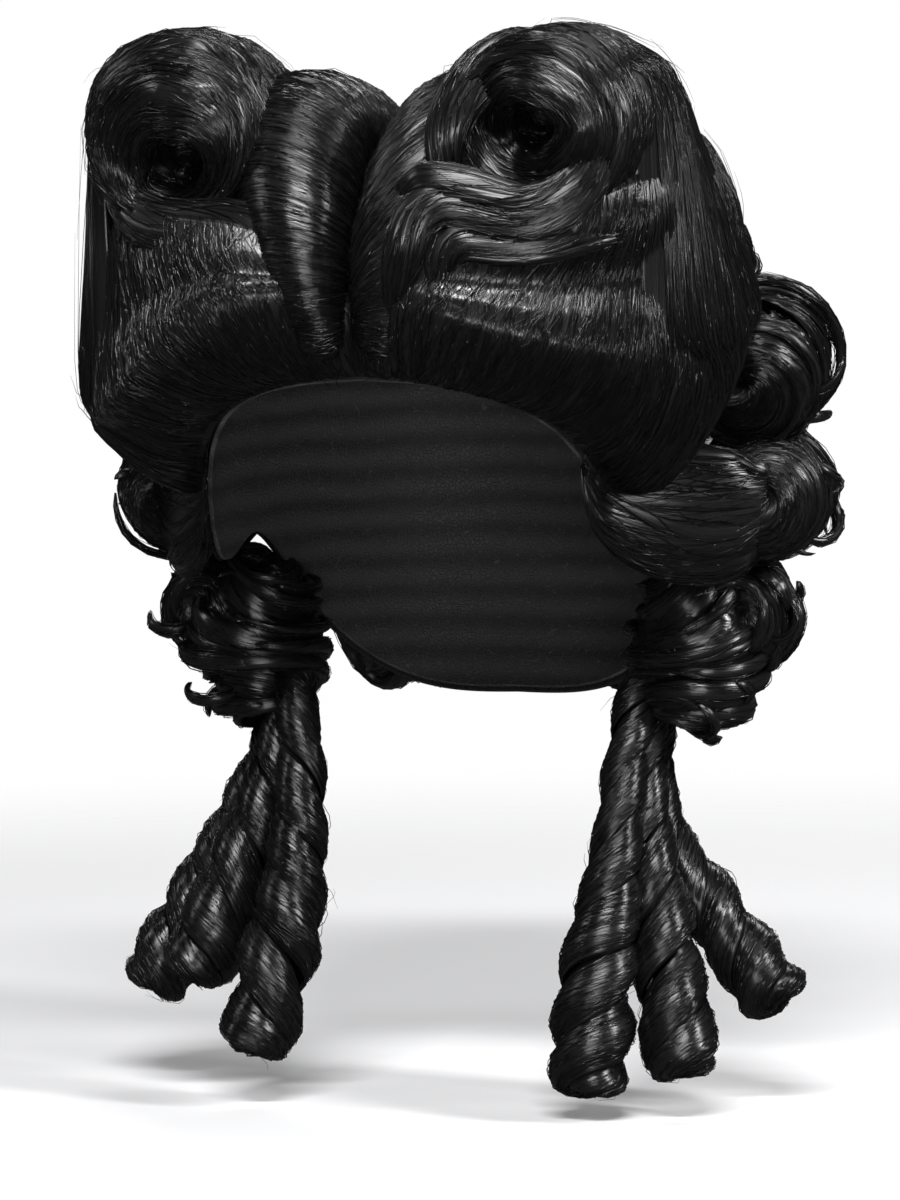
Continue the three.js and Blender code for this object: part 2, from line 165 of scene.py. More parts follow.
# one strand pattern for every hair finish: fine strands, thin locks and broad locks along the combing,
# with the share that each of the three has in an output
grainLook = dict(
    scales=dict(Fine=300, Thin=95, Broad=26, Along=3.2), detail=dict(Fine=1, Thin=2, Broad=2), broadAlong=0.6,
    outputs=dict(Tone=(0.55, 0.45, 0), Gloss=(0, 0.5, 0.5), Height=(0.35, 0.65, 1)),
)


def strandGrainGroup():
    group = bpy.data.node_groups.new("strandGrain", "ShaderNodeTree")
    face = group.interface
    face.new_socket("Combing", in_out="INPUT", socket_type="NodeSocketVector")
    for name, value in grainLook["scales"].items():
        face.new_socket(name, in_out="INPUT", socket_type="NodeSocketFloat").default_value = value
    for name in grainLook["outputs"]:
        face.new_socket(name, in_out="OUTPUT", socket_type="NodeSocketFloat")
    given, end = group.nodes.new("NodeGroupInput").outputs, group.nodes.new("NodeGroupOutput")
    combing = addNode(group, "ShaderNodeSeparateXYZ", {0: given["Combing"]})

    def maths(a, b, operation):
        return addNode(group, "ShaderNodeMath", {0: a, 1: b}, operation=operation)[0]

    layers = []
    for name, detail in grainLook["detail"].items():
        along = given["Along"]
        if name == "Broad":
            along = maths(along, grainLook["broadAlong"], "MULTIPLY")
        spot = {0: maths(combing[0], given[name], "MULTIPLY"), 1: maths(combing[1], along, "MULTIPLY")}
        spot = addNode(group, "ShaderNodeCombineXYZ", spot)[0]
        layers.append(addNode(group, "ShaderNodeTexNoise", {"Vector": spot, "Scale": 1, "Detail": detail})["Fac"])
    for name, weights in grainLook["outputs"].items():
        shares = [maths(layer, weight, "MULTIPLY") for layer, weight in zip(layers, weights) if weight]
        total = shares[0]
        for share in shares[1:]:
            total = maths(total, share, "ADD")
        feed(group, end, {name: total})
    return group


strandGrain = strandGrainGroup()
hairFinish = dict(
    dark=(0.0024, 0.0022, 0.0024), light=(0.01, 0.009, 0.009), toneFrom=(0.35, 0.7), glossFrom=(0.3, 0.7),
    roughness=(0.2, 0.38), anisotropic=0.6, specular=0.6, bumpStrength=0.6, bumpDepth=0.0005,
)
strandFinish = dict(hairFinish, roughness=(0.12, 0.26), anisotropic=0.3, bumpStrength=0.15)


def hairMaterial(name, finish):
    material, tree, shader = newMaterial(name)
    combing = addNode(tree, "ShaderNodeUVMap", uv_map="combing")[0]
    grain = addNode(tree, "ShaderNodeGroup", {"Combing": combing}, node_tree=strandGrain)
    tone = remap(tree, grain["Tone"], finish["toneFrom"])
    feed(tree, shader, {
        "Base Color": blend(tree, tone, finish["dark"], finish["light"]),
        "Roughness": remap(tree, grain["Gloss"], finish["glossFrom"], finish["roughness"]),
        "Normal": addBump(tree, grain["Height"], finish["bumpStrength"], finish["bumpDepth"]),
        "Tangent": addNode(tree, "ShaderNodeTangent", direction_type="UV_MAP", uv_map="combing")[0],
        "Anisotropic": finish["anisotropic"],
        "Specular IOR Level": finish["specular"],
    })
    return material


blackHair = hairMaterial("black_hair", hairFinish)
blackStrand = hairMaterial("black_strand", strandFinish)
print("hair finish ready")


# natural curve through the rows of a table
def smoothThrough(places, values, at):
    places, values, at = np.asarray(places, float), np.asarray(values, float), np.asarray(at, float)
    flat = values.ndim == 1
    values = values.reshape(len(places), -1)
    step = np.diff(places)[:, None]
    system = np.eye(len(places))
    pull = np.zeros_like(values)
    for i in range(1, len(places) - 1):
        system[i, i - 1:i + 2] = step[i - 1, 0], 2 * (step[i - 1, 0] + step[i, 0]), step[i, 0]
        pull[i] = 6 * ((values[i + 1] - values[i]) / step[i] - (values[i] - values[i - 1]) / step[i - 1])
    bend = np.linalg.solve(system, pull)
    k = np.clip(np.searchsorted(places, at) - 1, 0, len(places) - 2)
    b = ((at - places[k]) / step[k, 0])[..., None]
    a = 1 - b
    curve = a * values[k] + b * values[k + 1]
    curve = curve + ((a ** 3 - a) * bend[k] + (b ** 3 - b) * bend[k + 1]) * step[k] ** 2 / 6
    return curve[..., 0] if flat else curve


def ease(value, low, high):
    share = np.clip((value - low) / (high - low), 0, 1)
    return share * share * (3 - 2 * share)


def unit(vectors):
    return vectors / np.maximum(np.linalg.norm(vectors, axis=-1, keepdims=True), 1e-9)


def squareTo(vectors, way):
    return unit(vectors - way * (vectors * way).sum(-1, keepdims=True))


def summed(steps):
    return np.concatenate([[0], np.cumsum(steps)])


def readAt(at, run, table):
    return np.stack([np.interp(at, run, column) for column in table.T], -1)


def ringOf(count):
    return np.linspace(0, fullTurn, count, endpoint=False)


# round end of a lock, from the least share of its full size
def rounded(share, least):
    return np.sqrt(np.clip(1 - (1 - np.clip(share, 0, 1)) ** 2, least, 1))


# from the middle of the head to its surface
def headReach(way):
    return (np.abs(way / headForm["half"]) ** headForm["fullness"]).sum(-1) ** (-1 / headForm["fullness"])


# place on the head in a direction, pushed out by an offset
def headPoint(around, down, offset):
    around, down, offset = np.broadcast_arrays(np.radians(around), np.radians(down), offset)
    way = np.stack([np.sin(down) * np.sin(around), -np.sin(down) * np.cos(around), np.cos(down)], -1)
    return way * (headReach(way) + offset)[..., None] + headForm["centre"]


# degrees down from the crown at which the head has a given height
def downAt(around, z):
    around, z = np.broadcast_arrays(np.asarray(around, float), np.asarray(z, float))
    low, high = np.zeros(z.shape), np.full(z.shape, 180.0)
    for halving in range(24):
        middle = (low + high) / 2
        above = headPoint(around, middle, 0)[..., 2] > z
        low, high = np.where(above, middle, low), np.where(above, high, middle)
    return low


def headRadius(around, z):
    return np.hypot(*np.moveaxis(headPoint(around, downAt(around, z), 0)[..., :2], -1, 0))


# even places down a line, with the way it runs and the other columns of its table
def lineOf(rows, side, count):
    table = np.array(rows, float)
    table[:, 0] *= side
    curve = smoothThrough(np.arange(len(table)), table, np.linspace(0, len(table) - 1, lineSteps))
    run = summed(np.linalg.norm(np.diff(curve[:, :3], axis=0), axis=1))
    even = np.linspace(0, run[-1], count)
    spread = readAt(even, run, curve)
    return even, spread[:, :3], unit(np.gradient(spread[:, :3], axis=0)), spread[:, 3:].T


# soft random bumps, with cells in mm across and along the strands
def softNoise(rng, u, v, uCell, vCell, ring):
    def weights(places, cell, closed):
        total = places[-1]
        count = max(3, round(total / cell))
        spot = places[:-1] / total * count
        low = np.floor(spot).astype(int)
        mix = ease(spot - low, 0, 1)
        table = np.zeros((len(spot), count + 1))
        index = np.arange(len(spot))
        table[index, low] += 1 - mix
        table[index, (low + 1) % count if closed else low + 1] += mix
        return table
    across, along = weights(u, uCell, ring == "across"), weights(v, vCell, ring == "along")
    lattice = rng.uniform(-1, 1, (along.shape[1], across.shape[1]))
    return along @ lattice @ across.T


# the same over an even grid: how many places, how far they reach and the cell, across and along
def evenNoise(rng, across, along, ring):
    u, v = (np.linspace(0, far, count + 1) for count, far, cell in (across, along))
    return softNoise(rng, u, v, across[2], along[2], ring)


# how the strands lie in a lock: cell across, cell along and height in mm
strandRelief = dict(
    strand=(2.0, 30, 0.22), thin=(3.4, 44, 0.3), broad=(8, 60, 0.5), groove=(6, 70, 0.4),
    grooveWidth=0.12, ropeFine=0.7, ropeCover=0.5, ropeTip=0.08, lockTip=0.02,
    mapSize=100, mapShift=20, fanMap=0.3,
)
capGap = dict(cap=2.6, curls=6, free=-30, lowFrom=112, lowTo=138)  # from the head to the inner side of the hair
combed = []  # every lock's surface, for the loose strands laid over it later


# hair that would reach into the cap lies flat on it, and hair that hangs is free below the cap
def offHead(points, lies):
    ray = points - headForm["centre"]
    far = np.linalg.norm(ray, axis=-1, keepdims=True)
    way = ray / np.maximum(far, 1e-6)
    low = (lies == "free") * ease(-points[..., 2:], capGap["lowFrom"], capGap["lowTo"])
    near = capGap["curls" if lies == "off" else "cap"]
    gap = near + (capGap["free"] - near) * low
    return headForm["centre"] + way * np.maximum(far, headReach(way)[..., None] + gap)


# a closed lock from a grid: rows run along the strands, columns lie across them, and ring is the way it goes round
def combGrid(points, ring, rng, fine, broad, show, lies):
    points = offHead(points, lies)
    rows, cols = points.shape[:2]
    ringU, ringV = ring == "across", ring == "along"
    acrossStep = np.linalg.norm(np.roll(points, -1, 1) - points, axis=2).mean(0)
    alongStep = np.linalg.norm(np.roll(points, -1, 0) - points, axis=2).mean(1)
    if not ringU:
        acrossStep[-1] = acrossStep[-2]
    if not ringV:
        alongStep[-1] = alongStep[-2]
    u, v = summed(acrossStep), summed(alongStep)

    j, i = np.meshgrid(np.arange(cols if ringU else cols - 1), np.arange(rows if ringV else rows - 1))
    i, j = i.ravel(), j.ravel()
    quads = np.stack([(i + down) % rows * cols + (j + over) % cols for down, over in quadCorners], 1)
    quadUv = np.stack([np.stack([u[j + over], v[i + down]], 1) for down, over in quadCorners], 1)
    index = np.arange(rows * cols).reshape(rows, cols)
    spots = np.stack(np.meshgrid(u[:-1], v[:-1]), -1)
    ends = [(0,), (-1,)] if ringU else [(slice(None), 0), (slice(None), -1)]
    tris, triUv, centres = [], [], []
    for number, end in enumerate(ends):  # both ends are closed by a fan
        line, spot = index[end], spots[end]
        edges = np.stack([line, np.roll(line, -1)], 1)
        edges = edges if (number == 1) == ringU else edges[:, ::-1]
        tris.append(np.concatenate([np.full((len(line), 1), rows * cols + number), edges], 1))
        aside = strandRelief["fanMap"]
        triUv.append(np.stack([spot + (aside, aside), spot, spot + (aside, 0)], 1))
        centres.append(points[end].mean(0))
    tris, triUv = np.concatenate(tris), np.concatenate(triUv)

    every = np.concatenate([points.reshape(-1, 3), np.array(centres)])
    fans = np.concatenate([quads[:, [0, 1, 2]], quads[:, [0, 2, 3]], tris])
    a, b, c = (every[fans[:, k]] - every[0] for k in range(3))
    inside = (a * np.cross(b, c)).sum() < 0
    if inside:
        quads, quadUv, tris, triUv = (table[:, ::-1] for table in (quads, quadUv, tris, triUv))

    def slope(axis, closed):
        if closed:
            return np.roll(points, -1, axis) - np.roll(points, 1, axis)
        return np.gradient(points, axis=axis)
    out = unit(np.cross(slope(1, ringU), slope(0, ringV))) * (-1 if inside else 1)

    lift = np.zeros((rows, cols))
    for key, share in (("strand", fine), ("thin", fine), ("broad", broad)):
        uCell, vCell, tall = strandRelief[key]
        lift += share * tall * softNoise(rng, u, v, uCell, vCell, ring)
    uCell, vCell, deep = strandRelief["groove"]
    groove = softNoise(rng, u, v, uCell, vCell, ring) / strandRelief["grooveWidth"]
    lift -= broad * deep * np.exp(-groove ** 2)
    seen = np.ones((rows, cols)) if show is None else show
    grown = points + out * (lift * seen)[..., None]
    for end in ends:
        grown[end] = points[end]
    uv = np.concatenate([quadUv.reshape(-1, 2), triUv.reshape(-1, 2)]) / strandRelief["mapSize"]
    return dict(
        points=np.concatenate([grown.reshape(-1, 3), np.array(centres)]),
        corners=np.concatenate([quads.ravel(), tris.ravel()]),
        sizes=np.concatenate([np.full(len(quads), 4), np.full(len(tris), 3)]),
        uv=uv + rng.uniform(0, strandRelief["mapShift"], 2), grid=grown, out=out, ring=ring, seen=seen,
    )


# joins combed grids into one piece of hair
def addHair(name, parts, nodes=(), finish=blackHair):
    points, sizes, uv = (np.concatenate([part[key] for part in parts]) for key in ("points", "sizes", "uv"))
    shifts = summed([len(part["points"]) for part in parts])
    corners = np.concatenate([part["corners"] + shift for part, shift in zip(parts, shifts)])
    mesh = bpy.data.meshes.new(name)
    mesh.vertices.add(len(points))
    mesh.vertices.foreach_set("co", (points * mm).astype(np.float32).ravel())
    mesh.loops.add(len(corners))
    mesh.loops.foreach_set("vertex_index", corners.astype(np.int32))
    mesh.polygons.add(len(sizes))
    mesh.polygons.foreach_set("loop_start", summed(sizes)[:-1].astype(np.int32))
    mesh.uv_layers.new(name="combing").data.foreach_set("uv", uv.astype(np.float32).ravel())
    if "bake" in parts[0]:
        bake = np.concatenate([part["bake"] for part in parts])
        mesh.uv_layers.new(name="OFBake").data.foreach_set("uv", bake.astype(np.float32).ravel())
    mesh.polygons.foreach_set("use_smooth", np.ones(len(sizes), bool))
    mesh.update(calc_edges=True)
    mesh.materials.append(finish)
    piece = bpy.data.objects.new(name, mesh)
    bpy.context.scene.collection.objects.link(piece)
    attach(piece, "root")
    if nodes:
        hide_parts(*nodes)
    return piece


# one piece of hair from its grids, each with its ring and what shows of it, and from thin ropes over them
def combedLock(name, grids, seed, relief, ropes=(), lies="flat"):
    rng = np.random.default_rng(seed)
    parts = [combGrid(grid, ring, rng, *relief, show, lies) for grid, ring, show in grids]
    ropes = [combGrid(rope, "across", rng, strandRelief["ropeFine"], 0, None, lies) for rope in ropes]
    combed.extend(dict(part, name=name, cover=1) for part in parts)
    combed.extend(dict(rope, name=name, cover=strandRelief["ropeCover"]) for rope in ropes)
    addHair("hair_" + name, parts + ropes, [name])


# front swell: combed up from the hairline over a round crest and tucked under the roll
frontSwell = dict(
    # degrees round, lower edge, reach off the head, top, fullness above, crest on the left and on the right,
    # and how far the top comes forward to meet the roll
    rows=[
        (0.3, -46, 9, -8, 0.3, -26, -24, 0), (8, -47, 22, -2, 0, -22, -18, 0), (19, -50, 33, 6, 0, -25, -20, 1),
        (33, -57, 37, 10, 0, -32, -36, 7), (46, -68, 39, 18, 0.3, -37, -52, 11),
        (58, -83, 41, 28, 0.7, -41, -59, 7), (70, -90, 41, 34, 1, -41, -56, 1), (82, -78, 38, 33, 1, -35, -43, 0),
        (94, -60, 32, 26, 1, -26, -28, 0), (104, -46, 17, 6, 1, -20, -20, 0),
    ],
    profile=[  # share of the strand, rise to the crest, over to the top, reach in front and where it is full
        (0, 0, 0, 0, 0), (0.18, 0.2, 0, 0.5, 0.5), (0.32, 0.66, 0, 0.9, 0.9), (0.43, 1, 0, 1, 1),
        (0.49, 1, 0.1, 0.985, 1), (0.56, 1, 0.21, 0.965, 1), (0.64, 1, 0.33, 0.9, 0.99),
        (0.72, 1, 0.46, 0.875, 0.97), (0.83, 1, 0.66, 0.875, 0.92), (1, 1, 1, 0.8, 0.62),
    ],
    columns=240, outerRows=46, lean=0.85, leanPower=0.9, forward=(0.66, 1.0), hairline=0.08, offHead=1,
    meets=dict(left=(1, 0), right=(0.4, -3)), relief=(1.0, 0.8), seed=11,
    # the hidden side: mm below the top, mm above the edge, highest level, mm off the head, and less at the edge
    hiddenRows=8, below=3, above=1.5, highest=-16, lying=5.5, closer=3.3,
)


def swellGrid(sideName, side):
    spec = frontSwell
    part, tuck = spec["meets"][sideName]
    table, profile = np.array(spec["rows"], float), np.array(spec["profile"], float)
    share = np.linspace(0, 1, spec["columns"])[None, :]
    v = np.linspace(0, 1, spec["outerRows"])[:, None]
    lean = spec["lean"] * v ** spec["leanPower"] * np.sin(fullTurn * share) / fullTurn
    around = table[0, 0] + (table[-1, 0] - table[0, 0]) * (share + lean)
    columns = np.moveaxis(smoothThrough(table[:, 0], table[:, 1:], around), -1, 0)
    edge, reach, top, full, *crests, ahead = columns
    crest = crests[0 if side > 0 else 1]
    rise, over, sharp, broad = smoothThrough(profile[:, 0], profile[:, 1:], v[:, 0]).T[..., None]
    radius = headRadius(around, edge) + spec["offHead"]
    radius = radius + (sharp + np.clip(full, 0, 1) * (broad - sharp)) * reach
    radius = radius + (part * ahead + tuck) * ease(v, *spec["forward"])
    z = edge + rise * (crest - edge) + over * (top - crest)
    back = np.linspace(0, 1, spec["hiddenRows"] + 2)[1:-1, None]
    backZ = top[-1] - spec["below"]
    backZ = backZ + back * (edge[-1] + spec["above"] - backZ)
    lying = headRadius(around[-1], np.minimum(backZ, spec["highest"])) + spec["lying"] - spec["closer"] * back ** 3
    radius = np.concatenate([radius, np.minimum(lying, radius[-1] - 1)])
    z = np.concatenate([z, backZ])
    turn = np.radians(around)  # the hidden side goes back to where each strand left the hairline
    turn = np.concatenate([turn, turn[-1] + back * (turn[0] - turn[-1])])
    points = np.stack([side * radius * np.sin(turn), -radius * np.cos(turn), z], -1)
    show = ease(np.concatenate([v, 0 * back]), 0, spec["hairline"])
    return points, "along", show * np.ones_like(share)


swells = {sideName: swellGrid(sideName, side) for sideName, side in sides.items()}
for sideName, side in sides.items():
    combedLock("front_swell_" + sideName, [swells[sideName]], frontSwell["seed"] + side, frontSwell["relief"])
print("front swells combed")


# top roll: hair wound round a line from its tail to a domed front, where it swirls into a hollow
topRoll = dict(
    rows=[  # x, y, z of the line, radius
        (64, -107, 36, 32), (64, -99, 36, 32.5), (65, -84, 36, 33), (67, -56, 36, 33.5),
        (65, -24, 31, 31), (61, 8, 20, 24), (54, 36, 6, 14),
    ],
    around=96, columnStep=1.1, nose=24, dome=32, lip=6, setBack=9, tail=8, tailTip=0.04, narrows=0.75,
    hollowStep=1.5, leastRadius=2, relief=(1.0, 0.7), seed=21, shapeSeed=30,
    hollow=dict(left=(10.5, 6), right=(12.5, 9)), hollowDepth=dict(left=20, right=18),
    hollowAt=dict(left=(-3, 0), right=(0, -9)),  # from the line, outwards and up
    leanFrom=dict(left=40, right=110), leanBy=8,  # degrees round of the side of the mouth that comes forward
    swirl=19, swirlStep=2.6, ledge=(0, 0.8, 0.84, 1.0), swirlFrom=(-10, 10), swirlTo=(50, 70), swirlWaver=0.3,
    ragged=0.2, raggedCell=1.5, uneven=1.3, unevenCells=(1.3, 1.4), waver=2.0, waverCell=1.7, waverFade=24,
)


def rollGrid(sideName, side):
    spec, rng = topRoll, np.random.default_rng(topRoll["shapeSeed"] + side)
    run, line, way, (radius,) = lineOf(spec["rows"], side, lineSteps)
    length, nose, lip, step = run[-1], spec["nose"], spec["lip"], spec["columnStep"]
    turn = ringOf(spec["around"])[:, None]
    wide, tall = spec["hollow"][sideName]
    edge = wide * tall / np.hypot(tall * np.cos(turn), wide * np.sin(turn))
    ragged = evenNoise(rng, (1, 1, 1), (len(turn), 10, spec["raggedCell"]), "along")
    edge = edge * (1 + spec["ragged"] * ragged)
    # along the profile: the side, the domed front, the lip of the hollow and the hollow itself
    outer = np.arange(length - 0.1, nose, -step)
    dome = np.linspace(0, np.pi / 2, int(spec["dome"] / step))[1:]
    over = np.linspace(0, np.pi / 2, int(np.pi / 2 * lip / step))[1:]
    inside = np.arange(lip + step, spec["hollowDepth"][sideName], spec["hollowStep"] * step)
    deep = (inside - inside[0]) / np.ptp(inside)
    at = np.concatenate([outer, nose * (1 - np.sin(dome)), lip * (1 - np.cos(over)), inside])
    share = np.concatenate([0 * outer, 1 - np.cos(dome), 1 + 0 * over, 1 + 0 * inside])[None, :]
    full = np.interp(np.maximum(at, nose), run, radius)  # the front is as full as where its dome begins
    tuck = np.concatenate([0 * outer, 0 * dome, lip * np.sin(over), lip + 0 * inside])
    narrow = np.concatenate([np.ones(len(at) - len(inside)), 1 - spec["narrows"] * deep ** 2])
    reach = (full * (1 - share) + (edge + lip) * share - tuck) * narrow
    usual = reach.mean(0)
    walk = summed(np.hypot(np.diff(at), np.diff(usual)))
    walk = walk - walk[len(outer)]  # measured from where the side turns into the front
    # each turn of the swirl steps down under the one before it
    phase = np.mod(walk[None, :] / spec["swirl"] - turn / fullTurn + spec["swirlWaver"] * ragged, 1)
    ledge = ease(phase, *spec["ledge"][:2]) - ease(phase, *spec["ledge"][2:])
    strong = ease(walk, *spec["swirlFrom"]) * (1 - ease(walk, *spec["swirlTo"]))
    acrossCell, alongCell = spec["unevenCells"]
    uneven = evenNoise(rng, (len(at), 10, acrossCell), (len(turn), 10, alongCell), "along")
    waver = evenNoise(rng, (1, 1, 1), (len(turn), 10, spec["waverCell"]), "along")
    lift = spec["swirlStep"] * (ledge - 0.5) * strong[None, :] + spec["uneven"] * uneven
    lean = unit(np.stack([np.gradient(at), np.gradient(usual)], 1))
    lean = np.stack([lean[:, 1], -lean[:, 0]], 1)  # out of the profile, along the line and away from it
    tail = rounded((length - at) / spec["tail"], spec["tailTip"])[None, :]
    front = np.exp(-at / spec["waverFade"])[None, :]
    forward = spec["leanBy"] * np.cos(turn - math.radians(spec["leanFrom"][sideName]))
    a = at[None, :] + (spec["setBack"] - forward) * share
    a = np.clip(a + lift * lean[None, :, 0] + front * spec["waver"] * waver, 0, length)
    r = np.maximum(reach + lift * lean[None, :, 1], spec["leastRadius"]) * tail
    ahead = unit(readAt(a, run, way))
    out = squareTo(np.array([side, 0.0, 0.0]), ahead)
    up = unit(np.cross(out, ahead) * side)
    aside, above = spec["hollowAt"][sideName]
    middle = readAt(a, run, line) + (out * aside + up * above) * share[..., None]
    return middle + (out * np.cos(turn)[..., None] + up * np.sin(turn)[..., None]) * r[..., None]


# locks lying on the head, oval in section: x, y, z of the middle, half width, half depth
crownWave = dict(
    rows=[
        (9, -97, -40, 6, 5), (15, -99, -14, 14, 14), (22, -86, 12, 21, 21), (30, -62, 29, 27, 25),
        (35, -32, 31, 30, 24), (37, 0, 23, 30, 21), (37, 32, 4, 22, 14),
    ],
    columnStep=1.1, around=48, skew=dict(left=28, right=10), fade=70, round=(7, 7), relief=(1.0, 0.8), seed=41,
)
underWave = dict(
    left=[
        [  # from the parting side, dips under the hollow and turns up its outer side
            (16, -106, -28, 4, 2.5), (20, -111, -15, 6, 3), (24, -113, -3, 7, 3.5), (28, -112, 7, 8, 3.5),
            (37, -110, 12, 8, 3.5), (50, -108, 9, 8, 3.5), (62, -107, 6, 8, 4), (74, -104, 10, 8, 4),
            (83, -99, 19, 7, 4), (85, -97, 31, 6, 3.5), (79, -95, 43, 4, 3),
        ],
        [  # thin lock above it
            (18, -104, 12, 4, 2.5), (27, -109, 19, 6, 3), (38, -109, 19, 6, 3), (50, -108, 16, 6, 3),
            (61, -107, 13, 5, 3), (72, -105, 16, 4, 2.5), (79, -102, 24, 3, 2),
        ],
        [  # lower wave, out of the swell and round to the outer side
            (33, -107, -22, 5, 2.5), (35, -110, -13, 6, 3), (37, -111, -5, 7, 3.5), (43, -110, 0, 7, 3.5),
            (53, -108, -1, 7, 3.5), (66, -105, -1, 7, 3.5), (79, -97, 2, 7, 3.5), (89, -86, 3, 6, 3),
            (97, -72, 0, 5, 2.5),
        ],
        [  # lock that falls into the hollow from above, on its inner side
            (64, -80, 66, 9, 3), (51, -91, 59, 9, 3.5), (40, -97, 47, 8, 3.5), (35, -100, 35, 7, 3.5),
            (34, -99, 22, 5, 3), (37, -95, 10, 4, 3),
        ],
    ],
    right=[
        [  # under the hollow and up its outer side
            (9, -95, -32, 6, 3), (17, -103, -14, 8, 3.5), (28, -104, 0, 10, 4), (44, -102, 5, 10, 4),
            (62, -98, 5, 10, 4), (78, -92, 9, 9, 4), (89, -83, 20, 6, 3.5), (94, -74, 34, 4, 3),
        ],
        [  # wave below it
            (26, -104, -14, 5, 2.5), (40, -102, -10, 8, 3.5), (56, -97, -10, 9, 3.5), (72, -91, -7, 8, 3.5),
            (86, -82, 1, 7, 3), (95, -72, 14, 4, 2.5),
        ],
    ],
    columns=44, rowStep=2.6, twist=0.5, round=(26, 18), core=0.94, ropes=5, ropeSize=(1.2, 2.4), wander=0.5,
    rise=0.3, relief=(1.0, 0.5), seed=51, ropeSeed=81,
)
templeWave = dict(
    rows=[
        (61, -52, -78, 12, 2), (72, -38, -86, 21, 5), (85, -19, -94, 25, 8), (98, 3, -98, 24, 9),
        (107, 20, -93, 20, 9), (109, 26, -79, 14, 8), (101, 20, -70, 8, 5),
    ],
    columns=80, rowStep=2.6, twist=0.3, round=(13, 12), core=0.95, ropes=9, ropeSize=(2.0, 4.0), wander=0.35,
    relief=(1.0, 0.5), seed=61, ropeSeed=91,
)


# places down an oval lock: how far, the middle, the outward and sideways axes, half width and depth, and the ends
def ovalLine(spec, rows, side, step):
    length = lineOf(rows, side, 2)[0][-1]
    run, line, way, (wide, deep) = lineOf(rows, side, int(length / step))
    out = line - headForm["centre"]
    if "rise" in spec:  # the lock faces forward rather than up
        out[:, 2] = spec["rise"] * np.hypot(out[:, 0], out[:, 1])
    out = squareTo(out, way)
    first, last = spec["round"]
    ends = rounded(np.minimum(run / first, (run[-1] - run) / last), strandRelief["lockTip"])
    return run, line, out, unit(np.cross(way, out)), wide, deep, ends


# strands cross the line of the lock, from the parting up and over
def crossedLock(spec, side, skew):
    run, line, out, across, wide, deep, ends = ovalLine(spec, spec["rows"], side, spec["columnStep"])
    turn = ringOf(spec["around"])[:, None]
    fade = ease(np.minimum(run, run[-1] - run), 0, spec["fade"])
    at = run[None, :] + skew * side * np.cos(turn) * fade[None, :]
    wide, deep, ends = (np.interp(at, run, column) for column in (wide, deep, ends))
    points = readAt(at, run, line) + unit(readAt(at, run, across)) * (np.cos(turn) * wide * ends)[..., None]
    return points + unit(readAt(at, run, out)) * (np.sin(turn) * deep * ends)[..., None]


# strands run down the lock
def runningLock(spec, rows, side):
    run, line, out, across, wide, deep, ends = ovalLine(spec, rows, side, spec["rowStep"])
    ends = ends * spec["core"]
    turn = ringOf(spec["columns"])[None, :] + (side * spec["twist"] * np.pi * run / run[-1])[:, None]
    points = line[:, None] + across[:, None] * (np.cos(turn) * (wide * ends)[:, None])[..., None]
    return points + out[:, None] * (np.sin(turn) * (deep * ends)[:, None])[..., None]


# a thin lens-shaped rope of strands along points, flat to a surface with the given normals
def ropeGrid(points, normals, wide, thick, columns):
    way = unit(np.gradient(points, axis=0))
    out = squareTo(normals, way)
    across = np.cross(way, out)
    share = np.linspace(0, 1, len(points))
    taper = np.sqrt(np.clip(4 * share * (1 - share), 0, 1)).clip(strandRelief["ropeTip"], 1)[:, None]
    turn = ringOf(columns)[None, :]
    grid = points[:, None] + across[:, None] * (np.cos(turn) * wide * taper)[..., None]
    return grid + out[:, None] * (np.sin(turn) * thick * taper)[..., None]


# thin ropes of strands that wander over a running lock
waveRopes = dict(bareStart=0.14, bareEnd=0.16, jitter=0.4, waveLength=(22, 40), inset=(0.78, 0.95), fullAt=6,
                 flat=0.42, columns=12)


def ropesOver(spec, rows, side, seed):
    rng = np.random.default_rng(seed)
    run, line, out, across, wide, deep, ends = ovalLine(spec, rows, side, spec["rowStep"])
    ropes = []
    for k in range(spec["ropes"]):
        first = int(rng.uniform(0, waveRopes["bareStart"]) * len(run))
        last = len(run) - int(rng.uniform(0, waveRopes["bareEnd"]) * len(run))
        size = rng.uniform(*spec["ropeSize"])
        spot = k + rng.uniform(-waveRopes["jitter"], waveRopes["jitter"])
        turn = fullTurn * spot / spec["ropes"] + side * spec["twist"] * np.pi * run / run[-1]
        turn = turn + spec["wander"] * np.sin(run / rng.uniform(*waveRopes["waveLength"]) + rng.uniform(*anyTurn))
        inset = rng.uniform(*waveRopes["inset"])
        columns = (np.cos(turn), np.sin(turn), wide * ends, deep * ends)
        cos, sin, w, d = (column[first:last, None] for column in columns)
        middle, outAt, acrossAt = (table[first:last] for table in (line, out, across))
        centre = middle + acrossAt * cos * w * inset + outAt * sin * d * inset
        size = size * np.minimum(1, w / waveRopes["fullAt"])
        normal = unit(acrossAt * cos * d + outAt * sin * w)
        ropes.append(ropeGrid(centre, normal, size, waveRopes["flat"] * size, waveRopes["columns"]))
    return ropes


